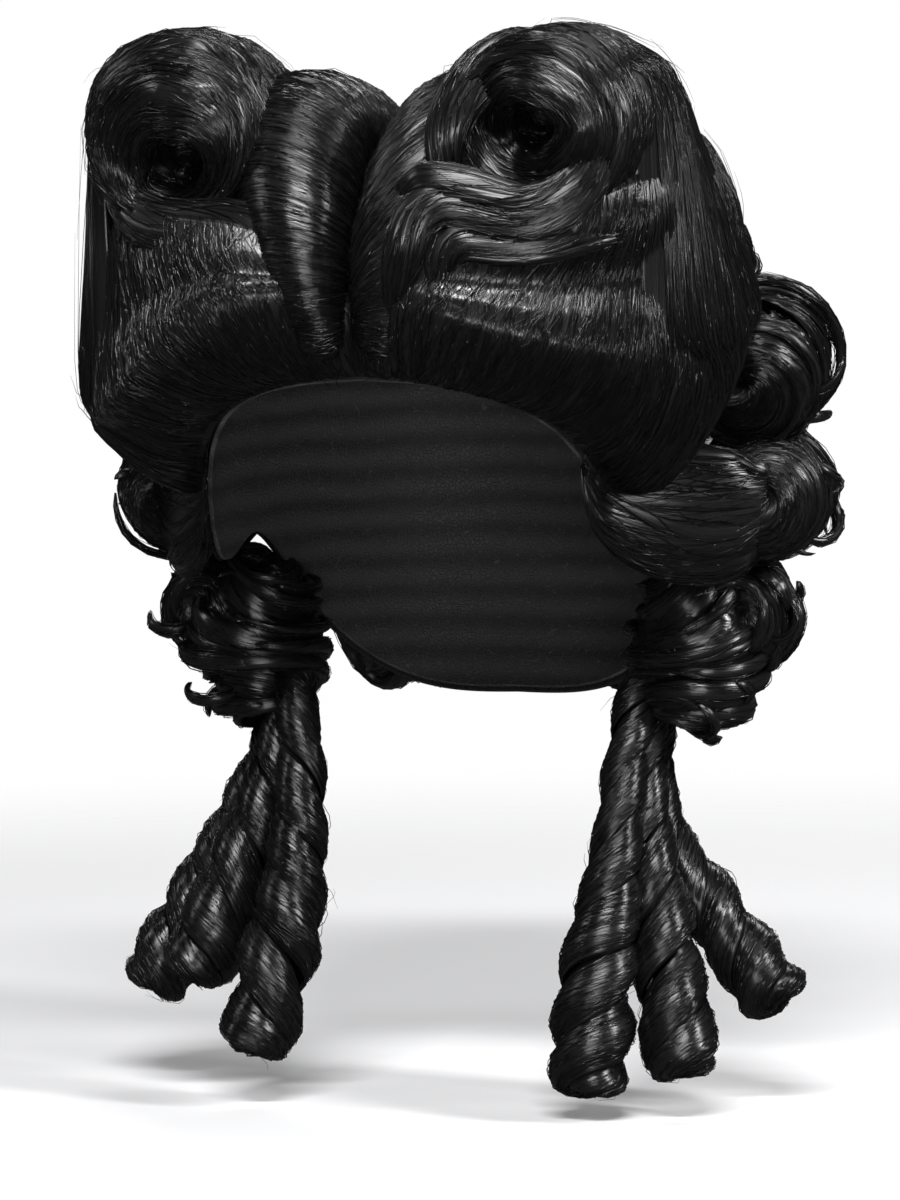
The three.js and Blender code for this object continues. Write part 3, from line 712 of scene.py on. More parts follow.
# sheets of hair drawn from the roll over its neighbours, so that each half is one mass
rollMantle = dict(
    outer=dict(
        swellAlong=(0.40, 0.93, 0.985), swellAt=(0.12, 0.32, 0.46, 0.58), aside=(0.26, 0.19, 0.12, 0.07),
        rollAlong=(-97, -34, 8), along=(0, 0.7, 1), rollAt=(6, 40, 76, 104),
        slide=(12, 3, -4, -6),  # mm back at the front edge
        proud=(-1.2, 0.4, 1.6, 3.2, 3.4, 2.0, 0.8, -0.5),  # mm out, for each guide row
    ),
    inner=dict(crownAt=(140, 110, 82), rollAt=(146, 118, 90), front=-92, back=8,
               proud=(-0.5, 0.6, 1.2, 1.4, 0.8, -0.5)),
    columns=100, rows=34, hiddenRows=6, thick=2.4, sink=4.0, edge=0.26, edgeRelief=0.3, mouth=16,
)


# place on the outside of the roll at a depth, degrees round from its outer side
def rollPoint(y, degrees, side):
    table = np.array(topRoll["rows"], float)
    x, z, radius = (np.interp(y, table[:, 1], table[:, k]) for k in (0, 2, 3))
    dome = np.arcsin(np.clip(1 - (y - table[0, 1]) / topRoll["nose"], 0, 1))
    radius = radius + (rollMantle["mouth"] - radius) * (1 - np.cos(dome))
    turn = math.radians(degrees)
    return np.stack([side * (x + radius * math.cos(turn)), y, z + radius * math.sin(turn)], -1)


def sheetNormals(grid):
    out = unit(np.cross(np.gradient(grid, axis=1), np.gradient(grid, axis=0)))
    return out * np.sign((out * (grid - headForm["centre"])).sum(-1, keepdims=True))


# a thin closed sheet through guide rows, sunk in at its edges
def mantleSheet(guides, proud):
    spec, guides = rollMantle, np.array(guides)
    guides = guides + sheetNormals(guides) * np.array(proud)[:, None, None]
    outer = smoothThrough(np.linspace(0, 1, len(guides)), guides.reshape(len(guides), -1),
                          np.linspace(0, 1, spec["rows"])).reshape(spec["rows"], -1, 3)
    out = sheetNormals(outer)
    across = np.linspace(0, 1, outer.shape[1])
    inset = 1 - ease(np.minimum(across, 1 - across), 0, spec["edge"])
    outer = outer - out * (spec["sink"] * inset)[None, :, None]
    back = np.linspace(spec["rows"] - 1, 0, spec["hiddenRows"] + 2)[1:-1].astype(int)
    points = np.concatenate([outer, outer[back] - out[back] * spec["thick"]])
    seen = np.concatenate([np.ones(spec["rows"]), np.zeros(len(back))])[:, None]
    return points, "along", seen * (1 - (1 - spec["edgeRelief"]) * inset)[None, :]


def outerMantle(swell, side):
    spec, share, last = rollMantle["outer"], np.linspace(0, 1, rollMantle["columns"]), swell.shape[1] - 1
    places = np.interp(share, spec["along"], spec["swellAlong"]) * last
    depth = np.interp(share, spec["along"], spec["rollAlong"])
    guides = []
    for v, aside in zip(spec["swellAt"], spec["aside"]):
        columns = (places + aside * (1 - share) * last).clip(0, last)
        guides.append(swell[int(v * (frontSwell["outerRows"] - 1)), columns.astype(int)])
    for degrees, slide in zip(spec["rollAt"], spec["slide"]):
        guides.append(rollPoint(depth + slide * (1 - share), degrees, side))
    return mantleSheet(guides, spec["proud"])


def innerMantle(crown, side):
    spec = rollMantle["inner"]
    depth = np.linspace(spec["front"], spec["back"], rollMantle["columns"])
    pick = lambda degrees: int((degrees if side > 0 else 180 - degrees) / 360 * len(crown))
    near = np.abs(crown[pick(90)][None, :, 1] - depth[:, None]).argmin(1)  # by the crown's highest line
    guides = [crown[pick(degrees), near] for degrees in spec["crownAt"]]
    guides += [rollPoint(depth, degrees, side) for degrees in spec["rollAt"]]
    return mantleSheet(guides, spec["proud"])


for sideName, side in sides.items():
    grids = [(rollGrid(sideName, side), "along", None), outerMantle(swells[sideName][0], side)]
    if sideName == "left":  # on the right half the roll and the crown stay apart
        grids.append(innerMantle(crossedLock(crownWave, side, 0), side))
    combedLock("top_roll_" + sideName, grids, topRoll["seed"] + side, topRoll["relief"])
print("top rolls wound")


# waves, each with its thin ropes
def layWave(name, spec, tables, side):
    grids = [(runningLock(spec, rows, side), "across", None) for rows in tables]
    ropes = []
    for number, rows in enumerate(tables):
        ropes += ropesOver(spec, rows, side, spec["ropeSeed"] + side + 10 * number)
    combedLock(name, grids, spec["seed"] + side, spec["relief"], ropes)


for sideName, side in sides.items():
    crown = crossedLock(crownWave, side, crownWave["skew"][sideName])
    combedLock("crown_wave_" + sideName, [(crown, "along", None)], crownWave["seed"] + side, crownWave["relief"])
    layWave("under_wave_" + sideName, underWave, underWave[sideName], side)
    layWave("temple_wave_" + sideName, templeWave, [templeWave["rows"]], side)
print("waves laid")


# curls: a band of hair wound round a line, each turn lapping over the next
curlBand = dict(
    columnStep=1.4, rowStep=3.4, lap=1.2, thick=2.4, tuck=0.17, droop=0.1, lip=0.55, inward=0.9, uneven=0.11,
    wander=6, bands=1, phase=0, wanderCell=0.45, unevenCells=(2.6, 0.27), leastRadius=6, leastWidth=0.6,
    places=300, lipPoints=24, sidePoints=200, mouthPoints=12, mouthTaper=0.1, leastRows=24, overlap=1,
    # shares of the band's width: where the tuck ends, the droop begins and the edges lie flush
    tuckTo=0.55, droopFrom=0.7, fullWidth=0.7, thinEnd=0.3, upperEdge=(0.12, 0.3), lowerEdge=(0.92, 1), flush=0.4,
)
curlSeeds = dict(first=100, relief=300, loops=700, otherBand=50)
sideCurls = dict(
    rows=[  # start, middle and open end of the line, the radius at each, the pitch, and its own band values
        ((92, 60, -42), (104, 32, -46), (107, 3, -54), (21, 28, 23), 34, {}),
        ((96, 62, -92), (107, 36, -92), (111, 9, -90), (18, 23, 20), 32, {}),
        ((82, 52, -8), (90, 28, -8), (93, 7, -13), (11, 13, 11), 24, {}),
        ((84, 64, -130), (96, 44, -134), (100, 20, -133), (15, 19, 16), 30, {}),
        ((76, 24, -118), (82, 30, -146), (77, 26, -172), (19, 24, 18), 40, dict(tuck=0.07, lip=0.85, uneven=0.12)),
    ],
    relief=(1.0, 0.6), hanging=(4, 5), loops=16, loopTurns=(0.5, 1.2), loopSize=(1.8, 4.2), loopReach=(0.86, 1.06),
    tumbles=9, tumbleTurns=(0.5, 0.9), tumbleRadius=(0.25, 0.5), tumbleSize=(1.6, 3.4), tumbleReach=0.8,
)
backCurls = dict(
    rows=[  # height, standing off the head, radius, length, pitch, degrees round of each
        (-10, 16, 22, 54, 32, (138, 180, 222)),
        (-52, 18, 24, 66, 34, (129, 163, 197, 231)),
        (-97, 17, 24, 72, 34, (142, 180, 218)),
        (-140, 15, 22, 62, 32, (159, 201)),
    ],
    relief=(1.0, 0.6), sag=5, ends=0.8,
    loops=7, loopTurns=(0.5, 1.2), loopSize=(2.4, 5.0), loopReach=(0.88, 0.98), tumbles=0,
)
ringlets = dict(
    pitch=44, relief=(0.7, 0.35),
    spiral=dict(bands=2, tuck=0.31, droop=0.18, thick=2.0, lip=0.55, uneven=0.08, wander=3),
    rows=dict(
        left_front=[  # x, y, z, radius
            (70, 36, -140, 6), (64, 17, -167, 8), (62, 3, -198, 8), (61, -7, -228, 11), (58, -16, -260, 14),
            (57, -26, -297, 14),
        ],
        left_middle=[
            (68, 36, -140, 6), (67, 22, -170, 7), (69, 12, -204, 8), (77, 2, -236, 11), (83, -8, -264, 13),
            (89, -15, -291, 14),
        ],
        left_back=[
            (66, 42, -140, 6), (66, 34, -176, 7), (70, 28, -208, 8), (86, 21, -232, 11), (102, 17, -252, 13),
            (117, 13, -269, 14),
        ],
        right_front=[
            (-70, 36, -140, 6), (-63, 17, -166, 8), (-56, 2, -196, 9), (-56, -7, -228, 12), (-60, -16, -256, 14),
            (-66, -25, -288, 14),
        ],
        right_middle=[
            (-68, 36, -140, 6), (-67, 22, -166, 8), (-71, 12, -196, 10), (-78, 4, -220, 12), (-86, -5, -243, 13),
            (-94, -12, -265, 14),
        ],
        right_back=[
            (-66, 42, -140, 6), (-72, 34, -168, 8), (-81, 28, -198, 10), (-94, 22, -226, 12), (-107, 17, -250, 13),
            (-120, 14, -273, 14),
        ],
    ),
)


# a line with axes that follow it without twisting
def curlLine(rows):
    run, line, way, (radius,) = lineOf(rows, 1, curlBand["places"])
    first = np.array([1.0, 0.0, 0.0]) if abs(way[0, 0]) < 0.8 else np.array([0.0, 0.0, 1.0])
    axes = [unit(np.cross(way[0], first))]
    for k in range(1, len(way)):
        axes.append(squareTo(axes[-1], way[k]))
    axes = np.array(axes)
    return run, line, way, radius, axes, np.cross(way, axes)


def curlGrid(rows, pitch, hand, seed, **own):
    rng = np.random.default_rng(seed)
    band = dict(curlBand, **own)
    run, line, way, radius, one, two = curlLine(rows)
    length = run[-1]
    # profile of the whole curl: rolled in at the start, down its side, over the lip and into the mouth
    lipStart, lipEnd = band["lip"] * radius[0], band["lip"] * radius[-1]
    bend = np.linspace(0, np.pi, band["lipPoints"])
    inner = bend[::-1]
    first = np.stack([lipStart * (1 - np.sin(inner)), radius[0] - lipStart * (1 - np.cos(inner))], 1)
    side = np.linspace(lipStart, length - lipEnd, band["sidePoints"])[1:-1]
    side = np.stack([side, np.interp(side, run, radius)], 1)
    last = np.stack([length - lipEnd * (1 - np.sin(bend)), radius[-1] - lipEnd * (1 - np.cos(bend))], 1)
    into = np.linspace(0, band["inward"] * radius[-1], band["mouthPoints"])[1:]
    into = np.stack([last[-1, 0] - into, last[-1, 1] - band["mouthTaper"] * into], 1)
    profile = np.concatenate([first, side, last, into])
    walk = summed(np.linalg.norm(np.diff(profile, axis=0), axis=1))
    slope = unit(np.gradient(profile, axis=0))
    lean = np.stack([-slope[:, 1], slope[:, 0]], 1)  # out of the profile

    width = pitch * band["lap"] / band["bands"]
    coils = (walk[-1] + width - 2 * band["overlap"]) / pitch
    mean = np.interp(np.linspace(0, 1, 50), run / length, radius).mean()
    rowCount = max(band["leastRows"], int(coils * fullTurn * mean / band["rowStep"]))
    turn = np.linspace(0, coils * fullTurn, rowCount)[:, None]
    middle = turn / fullTurn * pitch - width / 2 + band["overlap"]
    wander = band["wander"] * evenNoise(rng, (1, 1, 1), (rowCount, coils, band["wanderCell"]), "none")
    low = np.clip(middle - width / 2 + wander, 0, walk[-1] - band["leastWidth"])
    high = np.clip(middle + width / 2 + wander, band["leastWidth"], walk[-1])
    cols = int(width / band["columnStep"])
    outerW = np.linspace(0, 1, cols)
    innerW = np.linspace(1, 0, cols // 4)[1:-1]
    w = np.concatenate([outerW, innerW])[None, :]
    under = np.concatenate([0 * outerW, 0 * innerW + 1])[None, :]
    at = low + (high - low) * w
    q, r, leanQ, leanR = np.moveaxis(readAt(at, walk, np.concatenate([profile, lean], 1)), -1, 0)
    # the upper edge is tucked in under the turn before it, the lower edge laps over the next
    belly = -band["tuck"] * (1 - ease(w, 0, band["tuckTo"])) - band["droop"] * ease(w, band["droopFrom"], 1)
    narrow = ease(high - low, 0, width * band["fullWidth"])
    thick = band["thick"] * (band["thinEnd"] + (1 - band["thinEnd"]) * narrow)
    shift = belly * r.clip(band["leastRadius"], None) - under * thick
    acrossCell, alongCell = band["unevenCells"]
    waves = evenNoise(rng, (w.shape[1], 10, acrossCell), (rowCount, coils, alongCell), "across")
    q = np.clip(q + shift * leanQ, 0, length)
    r = np.maximum(r * (1 + band["uneven"] * waves) + shift * leanR, 1.0)
    spin = hand * (turn + band["phase"])[..., None]
    ray = readAt(q, run, one) * np.cos(spin) + readAt(q, run, two) * np.sin(spin)
    flush = band["flush"]
    show = (1 - under) * (flush + (1 - flush) * ease(w, *band["upperEdge"]))
    show = show * (1 - (1 - flush) * ease(w, *band["lowerEdge"]))
    return readAt(q, run, line) + ray * r[..., None], "across", np.repeat(show, rowCount, 0)


# thin ropes that loop loosely round a curl, and ropes that tumble off it
curlRopes = dict(
    drift=(0.5, 1.0), start=(-0.05, 0.95), back=0.4, perTurn=26, least=6, swell=0.06, swells=(0.8, 1.4),
    ends=0.7, endsFrom=0.5, flat=0.65, columns=10, tumbleAt=(20, 290), faces=0.2, sway=0.6, tumbleFlat=0.6,
)


def looseLoops(rows, pitch, hand, seed, spec):
    look, rng = curlRopes, np.random.default_rng(seed + curlSeeds["loops"])
    run, line, way, radius, one, two = curlLine(rows)
    knots = lambda turns: np.linspace(0, 1, int(turns * look["perTurn"]) + look["least"])
    loops = []
    for k in range(spec["loops"]):
        turns = rng.uniform(*spec["loopTurns"])
        drift = rng.uniform(*look["drift"]) * pitch * turns
        first = rng.uniform(*look["start"]) * run[-1] - drift * look["back"]
        share = knots(turns)
        at = np.clip(first + drift * share, 0, run[-1])
        spin = (rng.uniform(*anyTurn) + hand * fullTurn * turns * share)[:, None]
        swell = np.sin(fullTurn * (share * turns * rng.uniform(*look["swells"]) + rng.uniform()))
        reach = np.interp(at, run, radius) * rng.uniform(*spec["loopReach"]) * (1 + look["swell"] * swell)
        near = ease(np.minimum(at, run[-1] - at), 0, look["endsFrom"] * radius.mean())
        reach = reach * (look["ends"] + (1 - look["ends"]) * near)
        normal = unit(readAt(at, run, one) * np.cos(spin) + readAt(at, run, two) * np.sin(spin))
        size = rng.uniform(*spec["loopSize"])
        points = readAt(at, run, line) + normal * reach[:, None]
        loops.append(ropeGrid(points, normal, size, look["flat"] * size, look["columns"]))
    while len(loops) < spec["loops"] + spec["tumbles"]:
        k, spin = rng.integers(*look["tumbleAt"]), rng.uniform(*anyTurn)
        normal = one[k] * np.cos(spin) + two[k] * np.sin(spin)
        centre = line[k] + normal * radius[k] * spec["tumbleReach"]
        if normal.dot(unit(centre - headForm["centre"])) < look["faces"]:
            continue  # only on the side that is seen
        axis = unit(rng.normal(size=3) + look["sway"] * hand * way[k])
        first = unit(np.cross(axis, normal))
        turns = rng.uniform(*spec["tumbleTurns"])
        bend = (rng.uniform(*anyTurn) + fullTurn * turns * knots(turns))[:, None]
        ring = first * np.cos(bend) + np.cross(axis, first) * np.sin(bend)
        size = rng.uniform(*spec["tumbleSize"])
        points = centre + ring * rng.uniform(*spec["tumbleRadius"]) * radius[k]
        loops.append(ropeGrid(points, ring, size, look["tumbleFlat"] * size, look["columns"]))
    return loops


def backCurlRows(z, off, radius, length, around):
    half = math.degrees(length / 2 / (headForm["half"][1] + off))
    rows = []
    for place in (-1, 0, 1):
        spot = headPoint(around + place * half, downAt(around + place * half, z), off)
        size = radius * (1 if place == 0 else backCurls["ends"])
        rows.append((spot[0], spot[1], spot[2] - backCurls["sag"] * abs(place), size))
    return rows


def windCurl(name, rows, pitch, hand, seed, spec, own, lies):
    grids = [curlGrid(rows, pitch, hand, seed, **own)]
    loops = looseLoops(rows, pitch, hand, seed, spec)
    combedLock(name, grids, seed + curlSeeds["relief"], spec["relief"], loops, lies)


seed = curlSeeds["first"]
for sideName, side in sides.items():
    for number, (start, middle, end, radii, pitch, own) in enumerate(sideCurls["rows"], 1):
        rows = [(side * p[0], p[1], p[2], radii[k]) for k, p in enumerate((start, middle, end))]
        seed += 1
        lies = "free" if number in sideCurls["hanging"] else "off"
        windCurl(f"side_curl_{sideName}_{number}", rows, pitch, side, seed, sideCurls, own, lies)
print("side curls wound")

for name, rows in ringlets["rows"].items():
    seed += 1
    hand = 1 if "left" in name else -1
    grids = [curlGrid(rows, ringlets["pitch"], hand, seed + more, **ringlets["spiral"], phase=phase)
             for more, phase in ((0, 0), (curlSeeds["otherBand"], np.pi))]
    combedLock("ringlet_" + name, grids, seed + curlSeeds["relief"], ringlets["relief"], lies="free")
print("ringlets wound")

for tier, (*row, pitch, places) in enumerate(backCurls["rows"], 1):
    for number, around in enumerate(places, 1):
        seed += 1
        hand = 1 if number % 2 else -1
        rows = backCurlRows(*row, around)
        windCurl(f"back_curl_{tier}_{number}", rows, pitch, hand, seed, backCurls, {}, "off")
print("back curls wound")


# cap edge: degrees round from the brow, and height
capShape = dict(
    edge=[(0, -47), (20, -50), (40, -62), (55, -84), (66, -106), (78, -113), (95, -106), (112, -112), (130, -138),
          (150, -160), (180, -166)],
    wall=1.5, segments=120, rings=48, gap=0.6, smoothAngle=50,
)
plainLayer = dict(front=1.8, back=7, behind=(80, 130), thinner=0.6, thinFrom=0.9, columns=260, rows=40,
                  hiddenRows=18, whirl=26, crown=2, firstRow=0.04, edgeRelief=0.05, relief=(1.0, 0.8), seed=71)


# degrees round from the brow, the same on both sides
def folded(around):
    return 180 - np.abs(180 - np.mod(around, 360))


def capEdgeAt(around):
    table = np.array(capShape["edge"], float)
    return smoothThrough(table[:, 0], table[:, 1], folded(around))


def plainLayerGrid():
    spec = plainLayer
    columns = np.linspace(0, 360, spec["columns"], endpoint=False)[None, :]
    outer = np.linspace(spec["firstRow"], 1, spec["rows"])
    share = np.concatenate([outer, np.linspace(1, spec["firstRow"], spec["hiddenRows"])])[:, None]
    under = np.concatenate([0 * outer, np.ones(spec["hiddenRows"])])[:, None]
    around = columns + spec["whirl"] * np.sin(np.radians(columns)) * share
    down = spec["crown"] + share * (downAt(around, capEdgeAt(around)) - spec["crown"])
    thick = spec["front"] + (spec["back"] - spec["front"]) * ease(folded(around), *spec["behind"])
    thick = thick * (1 - spec["thinner"] * ease(share, spec["thinFrom"], 1))
    points = headPoint(around, down, capShape["wall"] + capShape["gap"] + thick * (1 - under))
    show = (1 - under) * ease(1 - share + under, 0, spec["edgeRelief"])
    return points, "across", np.repeat(show, spec["columns"], 1)


combedLock("back_hair", [plainLayerGrid()], plainLayer["seed"], plainLayer["relief"])
print("plain layer combed")


# single strands laid over the locks: thin three-sided tubes that follow the combing, joined into a few pieces
looseStrands = dict(
    cover=1.5, radius=(0.13, 0.29), tip=0.3, lift=(0.1, 0.8), endLift=0.4, drift=4.0, bow=1.6,
    wisps=0.025, wispLift=(1.0, 4.5), wispThin=0.6,
    flat=dict(length=(35, 95), knots=8), curled=dict(length=(25, 70), knots=9),
    spiral=dict(length=(18, 42), knots=8),
    clear=1.2, sight=20, tilts=(0, 0.9, 0.9), bakeEdge=0.1, mapWidth=0.004,
    pieces=dict(
        swells=("front_swell",), waves=("under_wave", "temple_wave"),
        left_roll=("top_roll_left", "crown_wave_left"), right_roll=("top_roll_right", "crown_wave_right"),
        left_curls=("side_curl_left",), right_curls=("side_curl_right",), ringlets=("ringlet",),
        back=("back_curl_1", "back_curl_2"), nape=("back_curl_3", "back_curl_4", "back_hair"),
    ),
    share=dict(ringlets=0.5, nape=0.5), seed=2024,
)


# all the locks as one surface, to tell which places can be seen
def lockSurface():
    points, faces, shift = [], [], 0
    for lock in combed:
        starts = summed(lock["sizes"])[:-1][lock["sizes"] == 4]
        faces += (lock["corners"][starts[:, None] + np.arange(4)] + shift).tolist()
        points.append(lock["points"])
        shift += len(lock["points"])
    return BVHTree.FromPolygons(np.concatenate(points).tolist(), faces)


def canBeSeen(surface, points, normals, rng):
    seen = np.zeros(len(points), bool)
    starts = points + normals * looseStrands["clear"]
    for tilt in looseStrands["tilts"]:
        ways = unit(normals + tilt * unit(rng.normal(size=normals.shape)))
        for k in np.flatnonzero(~seen):
            seen[k] = surface.ray_cast(starts[k], ways[k], looseStrands["sight"])[0] is None
    return seen


def strandsOver(lock, surface, cover, rng):
    spec, grid, out, ring = looseStrands, lock["grid"], lock["out"], lock["ring"]
    kind = spec["curled" if "curl" in lock["name"] else "spiral" if "ringlet" in lock["name"] else "flat"]
    rows, cols = grid.shape[:2]
    acrossStep, alongStep = (np.linalg.norm(np.diff(grid, axis=axis), axis=2).mean() for axis in (1, 0))
    shown = np.argwhere(lock["seen"] > 0.5)
    (lowRow, lowCol), (highRow, highCol) = shown.min(0), shown.max(0)
    usual = sum(kind["length"]) / 2
    count = int(lock["cover"] * cover * len(shown) * acrossStep * alongStep / (usual * sum(spec["radius"])))
    spot = shown[rng.integers(0, len(shown), count)]
    spot = spot[canBeSeen(surface, grid[spot[:, 0], spot[:, 1]], out[spot[:, 0], spot[:, 1]], rng)]
    count = len(spot)
    spot = spot + rng.uniform(-0.5, 0.5, (count, 2))
    t = np.linspace(0, 1, kind["knots"])[None, :]
    some = lambda low, high: rng.uniform(low, high, (count, 1))
    half = some(*kind["length"]) / alongStep / 2
    start, stop = spot[:, :1] - half, spot[:, :1] + half
    if ring != "along" or highRow - lowRow < rows - 1:  # the lock has two ends
        start, stop = np.maximum(start, lowRow), np.minimum(stop, highRow)
    row = start + (stop - start) * t
    col = spot[:, 1:] + rng.normal(0, spec["drift"] / acrossStep, (count, 1)) * (t - 0.5)
    col = col + rng.normal(0, spec["bow"] / acrossStep, (count, 1)) * np.sin(np.pi * t)
    if ring != "across" or highCol - lowCol < cols - 1:
        col = np.clip(col, lowCol + 0.5, highCol - 0.5)

    def sample(table):
        i, j = np.floor(row).astype(int), np.floor(col).astype(int)
        a, b = (row - i)[..., None], (col - j)[..., None]
        i, j, iNext, jNext = i % rows, j % cols, (i + 1) % rows, (j + 1) % cols
        near = table[i, j] * (1 - b) + table[i, jNext] * b
        return near * (1 - a) + (table[iNext, j] * (1 - b) + table[iNext, jNext] * b) * a

    normal = unit(sample(out))
    arch = np.sin(np.pi * t)
    lift = some(*spec["lift"]) * (spec["endLift"] + (1 - spec["endLift"]) * arch)
    wisp = (rng.uniform(size=(count, 1)) < spec["wisps"]) * some(*spec["wispLift"])
    lift = lift + wisp * np.where(some(0, 1) < 0.5, t, 1 - t) ** 2
    points = sample(grid) + normal * lift[..., None]
    way = unit(np.gradient(points, axis=1))
    across = unit(np.cross(way, normal))
    normal = np.cross(across, way)
    thick = some(*spec["radius"]) * np.sqrt(arch).clip(spec["tip"], 1) * np.where(wisp > 0, spec["wispThin"], 1)
    rays = [across * np.cos(k) + normal * np.sin(k) for k in np.radians([90, 210, 330])]
    tube = np.stack([points + ray * thick[..., None] for ray in rays], 2)
    return tube, summed(np.linalg.norm(np.diff(points, axis=1), axis=2).mean(0))


# joins the tubes, each with its own strip of the map that a bake can use
def addStrands(name, tubes, rng):
    cells = math.ceil(math.sqrt(sum(len(tube) for tube, along in tubes)))
    edge = looseStrands["bakeEdge"]
    keep = 1 - 2 * edge
    tables = dict(points=[], corners=[], sizes=[], uv=[], bake=[])
    shift = done = 0
    for tube, along in tubes:
        count, knots = tube.shape[:2]
        k, j = np.meshgrid(np.arange(knots - 1), np.arange(3), indexing="ij")
        quad = np.stack([(k + down) * 3 + (j + over) % 3 for down, over in quadCorners], -1).ravel()
        ends = [2, 1, 0, knots * 3 - 3, knots * 3 - 2, knots * 3 - 1]
        corner = shift + np.arange(count)[:, None] * knots * 3 + np.concatenate([quad, ends])
        u = np.stack([j + over for down, over in quadCorners], -1).ravel() / 3
        v = np.stack([k + down for down, over in quadCorners], -1).ravel()
        endLift = np.concatenate([0 * u, [-1, -2, -1, 1, 2, 1]]) * edge / 3
        u = np.concatenate([u, [1, 0.5, 0, 0, 0.5, 1]])[None, :]
        v = np.concatenate([v, [0, 0, 0], [knots - 1] * 3])
        offset = rng.uniform(0, strandRelief["mapShift"], (count, 2))
        along = along[v][None, :] / strandRelief["mapSize"]
        uv = np.stack([offset[:, :1] + looseStrands["mapWidth"] * u, offset[:, 1:] + along], -1)
        down, over = np.divmod(done + np.arange(count)[:, None], cells)
        bakeV = edge + keep * v[None, :] / (knots - 1) + endLift
        bake = np.stack([(over + edge + keep * u) / cells, (down + bakeV) / cells], -1)
        tables["points"].append(tube.reshape(-1, 3))
        tables["corners"].append(corner.ravel())
        tables["sizes"].append(np.tile([4] * (len(quad) // 4) + [3, 3], count))
        tables["uv"].append(uv.reshape(-1, 2))
        tables["bake"].append(bake.reshape(-1, 2))
        shift += count * knots * 3
        done += count
    part = {key: np.concatenate(table) for key, table in tables.items()}
    return addHair("hair_strands_" + name, [part], (), blackStrand)


strandRng = np.random.default_rng(looseStrands["seed"])
surface = lockSurface()
for name, starts in looseStrands["pieces"].items():
    cover = looseStrands["cover"] * looseStrands["share"].get(name, 1)
    tubes = [strandsOver(lock, surface, cover, strandRng) for lock in combed if lock["name"].startswith(starts)]
    piece = addStrands(name, [tube for tube in tubes if len(tube[0])], strandRng)
    print("strands laid,", name, len(piece.data.polygons) * 2, "triangles")


# cap: a thin net with rows of sewn weft
netFinish = dict(
    thread=(0.05, 0.048, 0.05), shade=(0.012, 0.012, 0.013), roughness=(0.7, 0.95), meshScale=700, threadWidth=0.12,
    weft=0.011, waveLength=0.314,  # metres from row to row, and the same in a wave texture of scale 1
    weftUneven=1.2, weftDetail=2, weftShare=0.6, bumpStrength=0.8, bumpDepth=0.0006,
)


def netMaterial():
    look = netFinish
    material, tree, shader = newMaterial("cap_net")
    place = addNode(tree, "ShaderNodeTexCoord")["Object"]
    mesh = addNode(tree, "ShaderNodeTexVoronoi", {
        "Vector": place, "Scale": look["meshScale"],
    }, feature="DISTANCE_TO_EDGE")
    weft = addNode(tree, "ShaderNodeTexWave", {
        "Vector": place, "Scale": look["waveLength"] / look["weft"],
        "Distortion": look["weftUneven"], "Detail": look["weftDetail"],
    }, bands_direction="Z")["Fac"]
    thread = remap(tree, mesh["Distance"], (0, look["threadWidth"]), (1, 0))
    both = addNode(tree, "ShaderNodeMath", {0: weft, 1: look["weftShare"], 2: thread}, operation="MULTIPLY_ADD")[0]
    feed(tree, shader, {
        "Base Color": blend(tree, both, look["shade"], look["thread"]),
        "Roughness": remap(tree, thread, (0, 1), look["roughness"]),
        "Normal": addBump(tree, both, look["bumpStrength"], look["bumpDepth"]),
    })
    return material


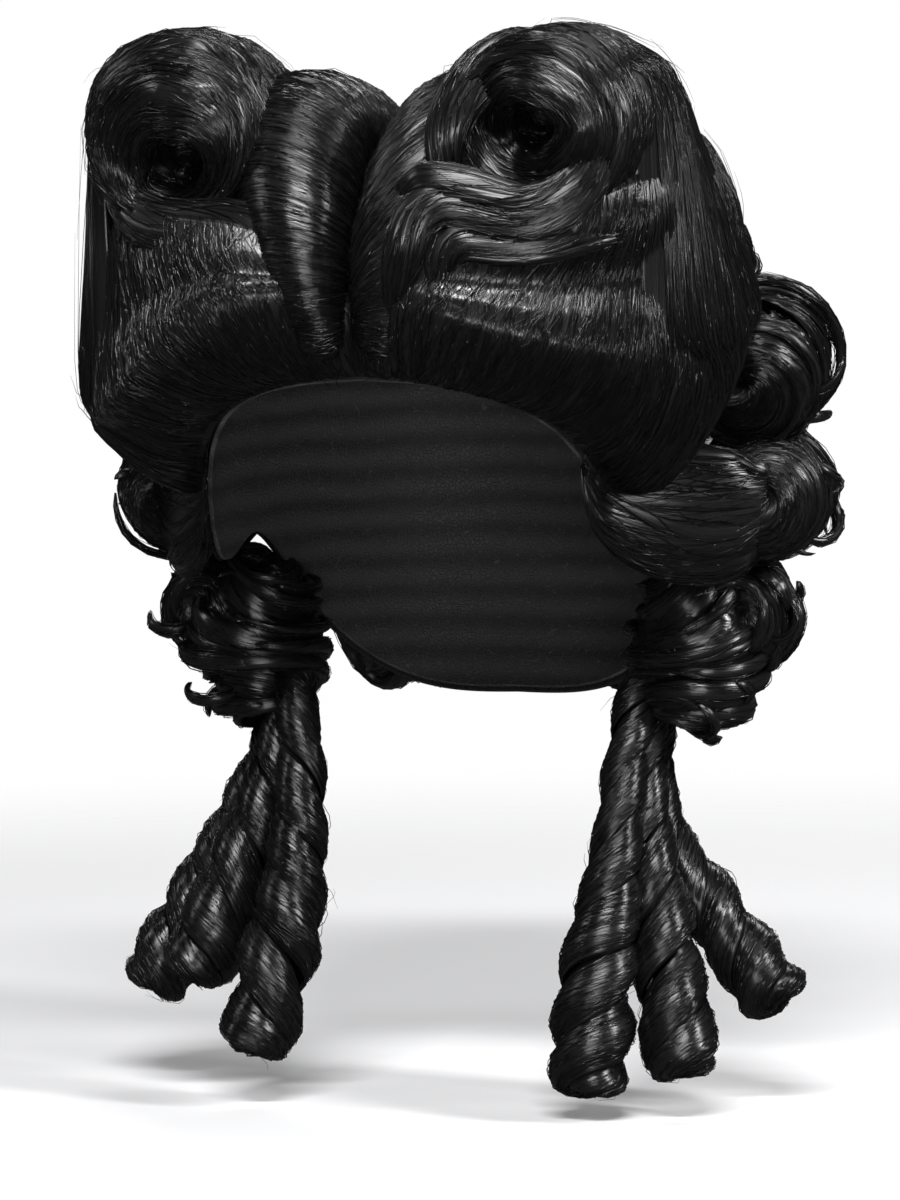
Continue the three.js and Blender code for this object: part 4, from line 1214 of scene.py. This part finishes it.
def makeCap():
    bpy.ops.object.select_all(action="DESELECT")
    bpy.ops.mesh.primitive_uv_sphere_add(segments=capShape["segments"], ring_count=capShape["rings"] * 2, radius=1)
    cap = bpy.context.object
    cap.name = "net_cap"
    bpy.ops.object.mode_set(mode="EDIT")
    bpy.ops.mesh.select_all(action="SELECT")
    bpy.ops.mesh.bisect(plane_co=(0, 0, -1e-4), plane_no=(0, 0, 1), clear_inner=True)  # keeps its middle ring
    bpy.ops.object.mode_set(mode="OBJECT")
    spots = np.array([v.co for v in cap.data.vertices])
    around = np.degrees(np.arctan2(spots[:, 0], -spots[:, 1]))
    share = np.degrees(np.arccos(np.clip(spots[:, 2], -1, 1))) / 90
    places = headPoint(around, share * downAt(around, capEdgeAt(around)), 0) * mm
    cap.data.vertices.foreach_set("co", places.astype(np.float32).ravel())
    cap.data.update()
    wall = cap.modifiers.new("wall", "SOLIDIFY")
    wall.thickness = capShape["wall"] * mm
    wall.offset = 1
    bpy.ops.object.modifier_apply(modifier="wall")
    bpy.ops.object.shade_smooth_by_angle(angle=math.radians(capShape["smoothAngle"]))
    cap.data.materials.clear()
    cap.data.materials.append(netMaterial())
    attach(cap, "root")
    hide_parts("cap")


makeCap()
print("cap sewn")


# pale floor that fades into the white room
floorLook = dict(level=-0.306, radius=1.1, corners=96, fade=(0.45, 1.0), colour=(0.86, 0.86, 0.87, 1),
                 roughness=0.9, specular=0.1)


def makeFloor():
    bpy.ops.object.select_all(action="DESELECT")
    bpy.ops.mesh.primitive_circle_add(vertices=floorLook["corners"], radius=floorLook["radius"], fill_type="NGON",
                                      location=(0, 0, floorLook["level"]))
    floor = bpy.context.object
    floor.name = "studio_floor"
    bpy.ops.object.transform_apply(location=True, rotation=True, scale=True)
    material, tree, shader = newMaterial("pale_floor")
    place = addNode(tree, "ShaderNodeTexCoord")["Object"]
    level = addNode(tree, "ShaderNodeVectorMath", {0: place, 1: (1, 1, 0)}, operation="MULTIPLY")[0]
    far = addNode(tree, "ShaderNodeVectorMath", {0: level}, operation="LENGTH")["Value"]
    feed(tree, shader, {
        "Base Color": floorLook["colour"],
        "Roughness": floorLook["roughness"],
        "Specular IOR Level": floorLook["specular"],
        "Alpha": remap(tree, far, floorLook["fade"], (1, 0), interpolation_type="SMOOTHSTEP"),
    })
    floor.data.materials.append(material)
    floor.visible_glossy = False  # no glare from below on the hair


makeFloor()
print("floor laid")
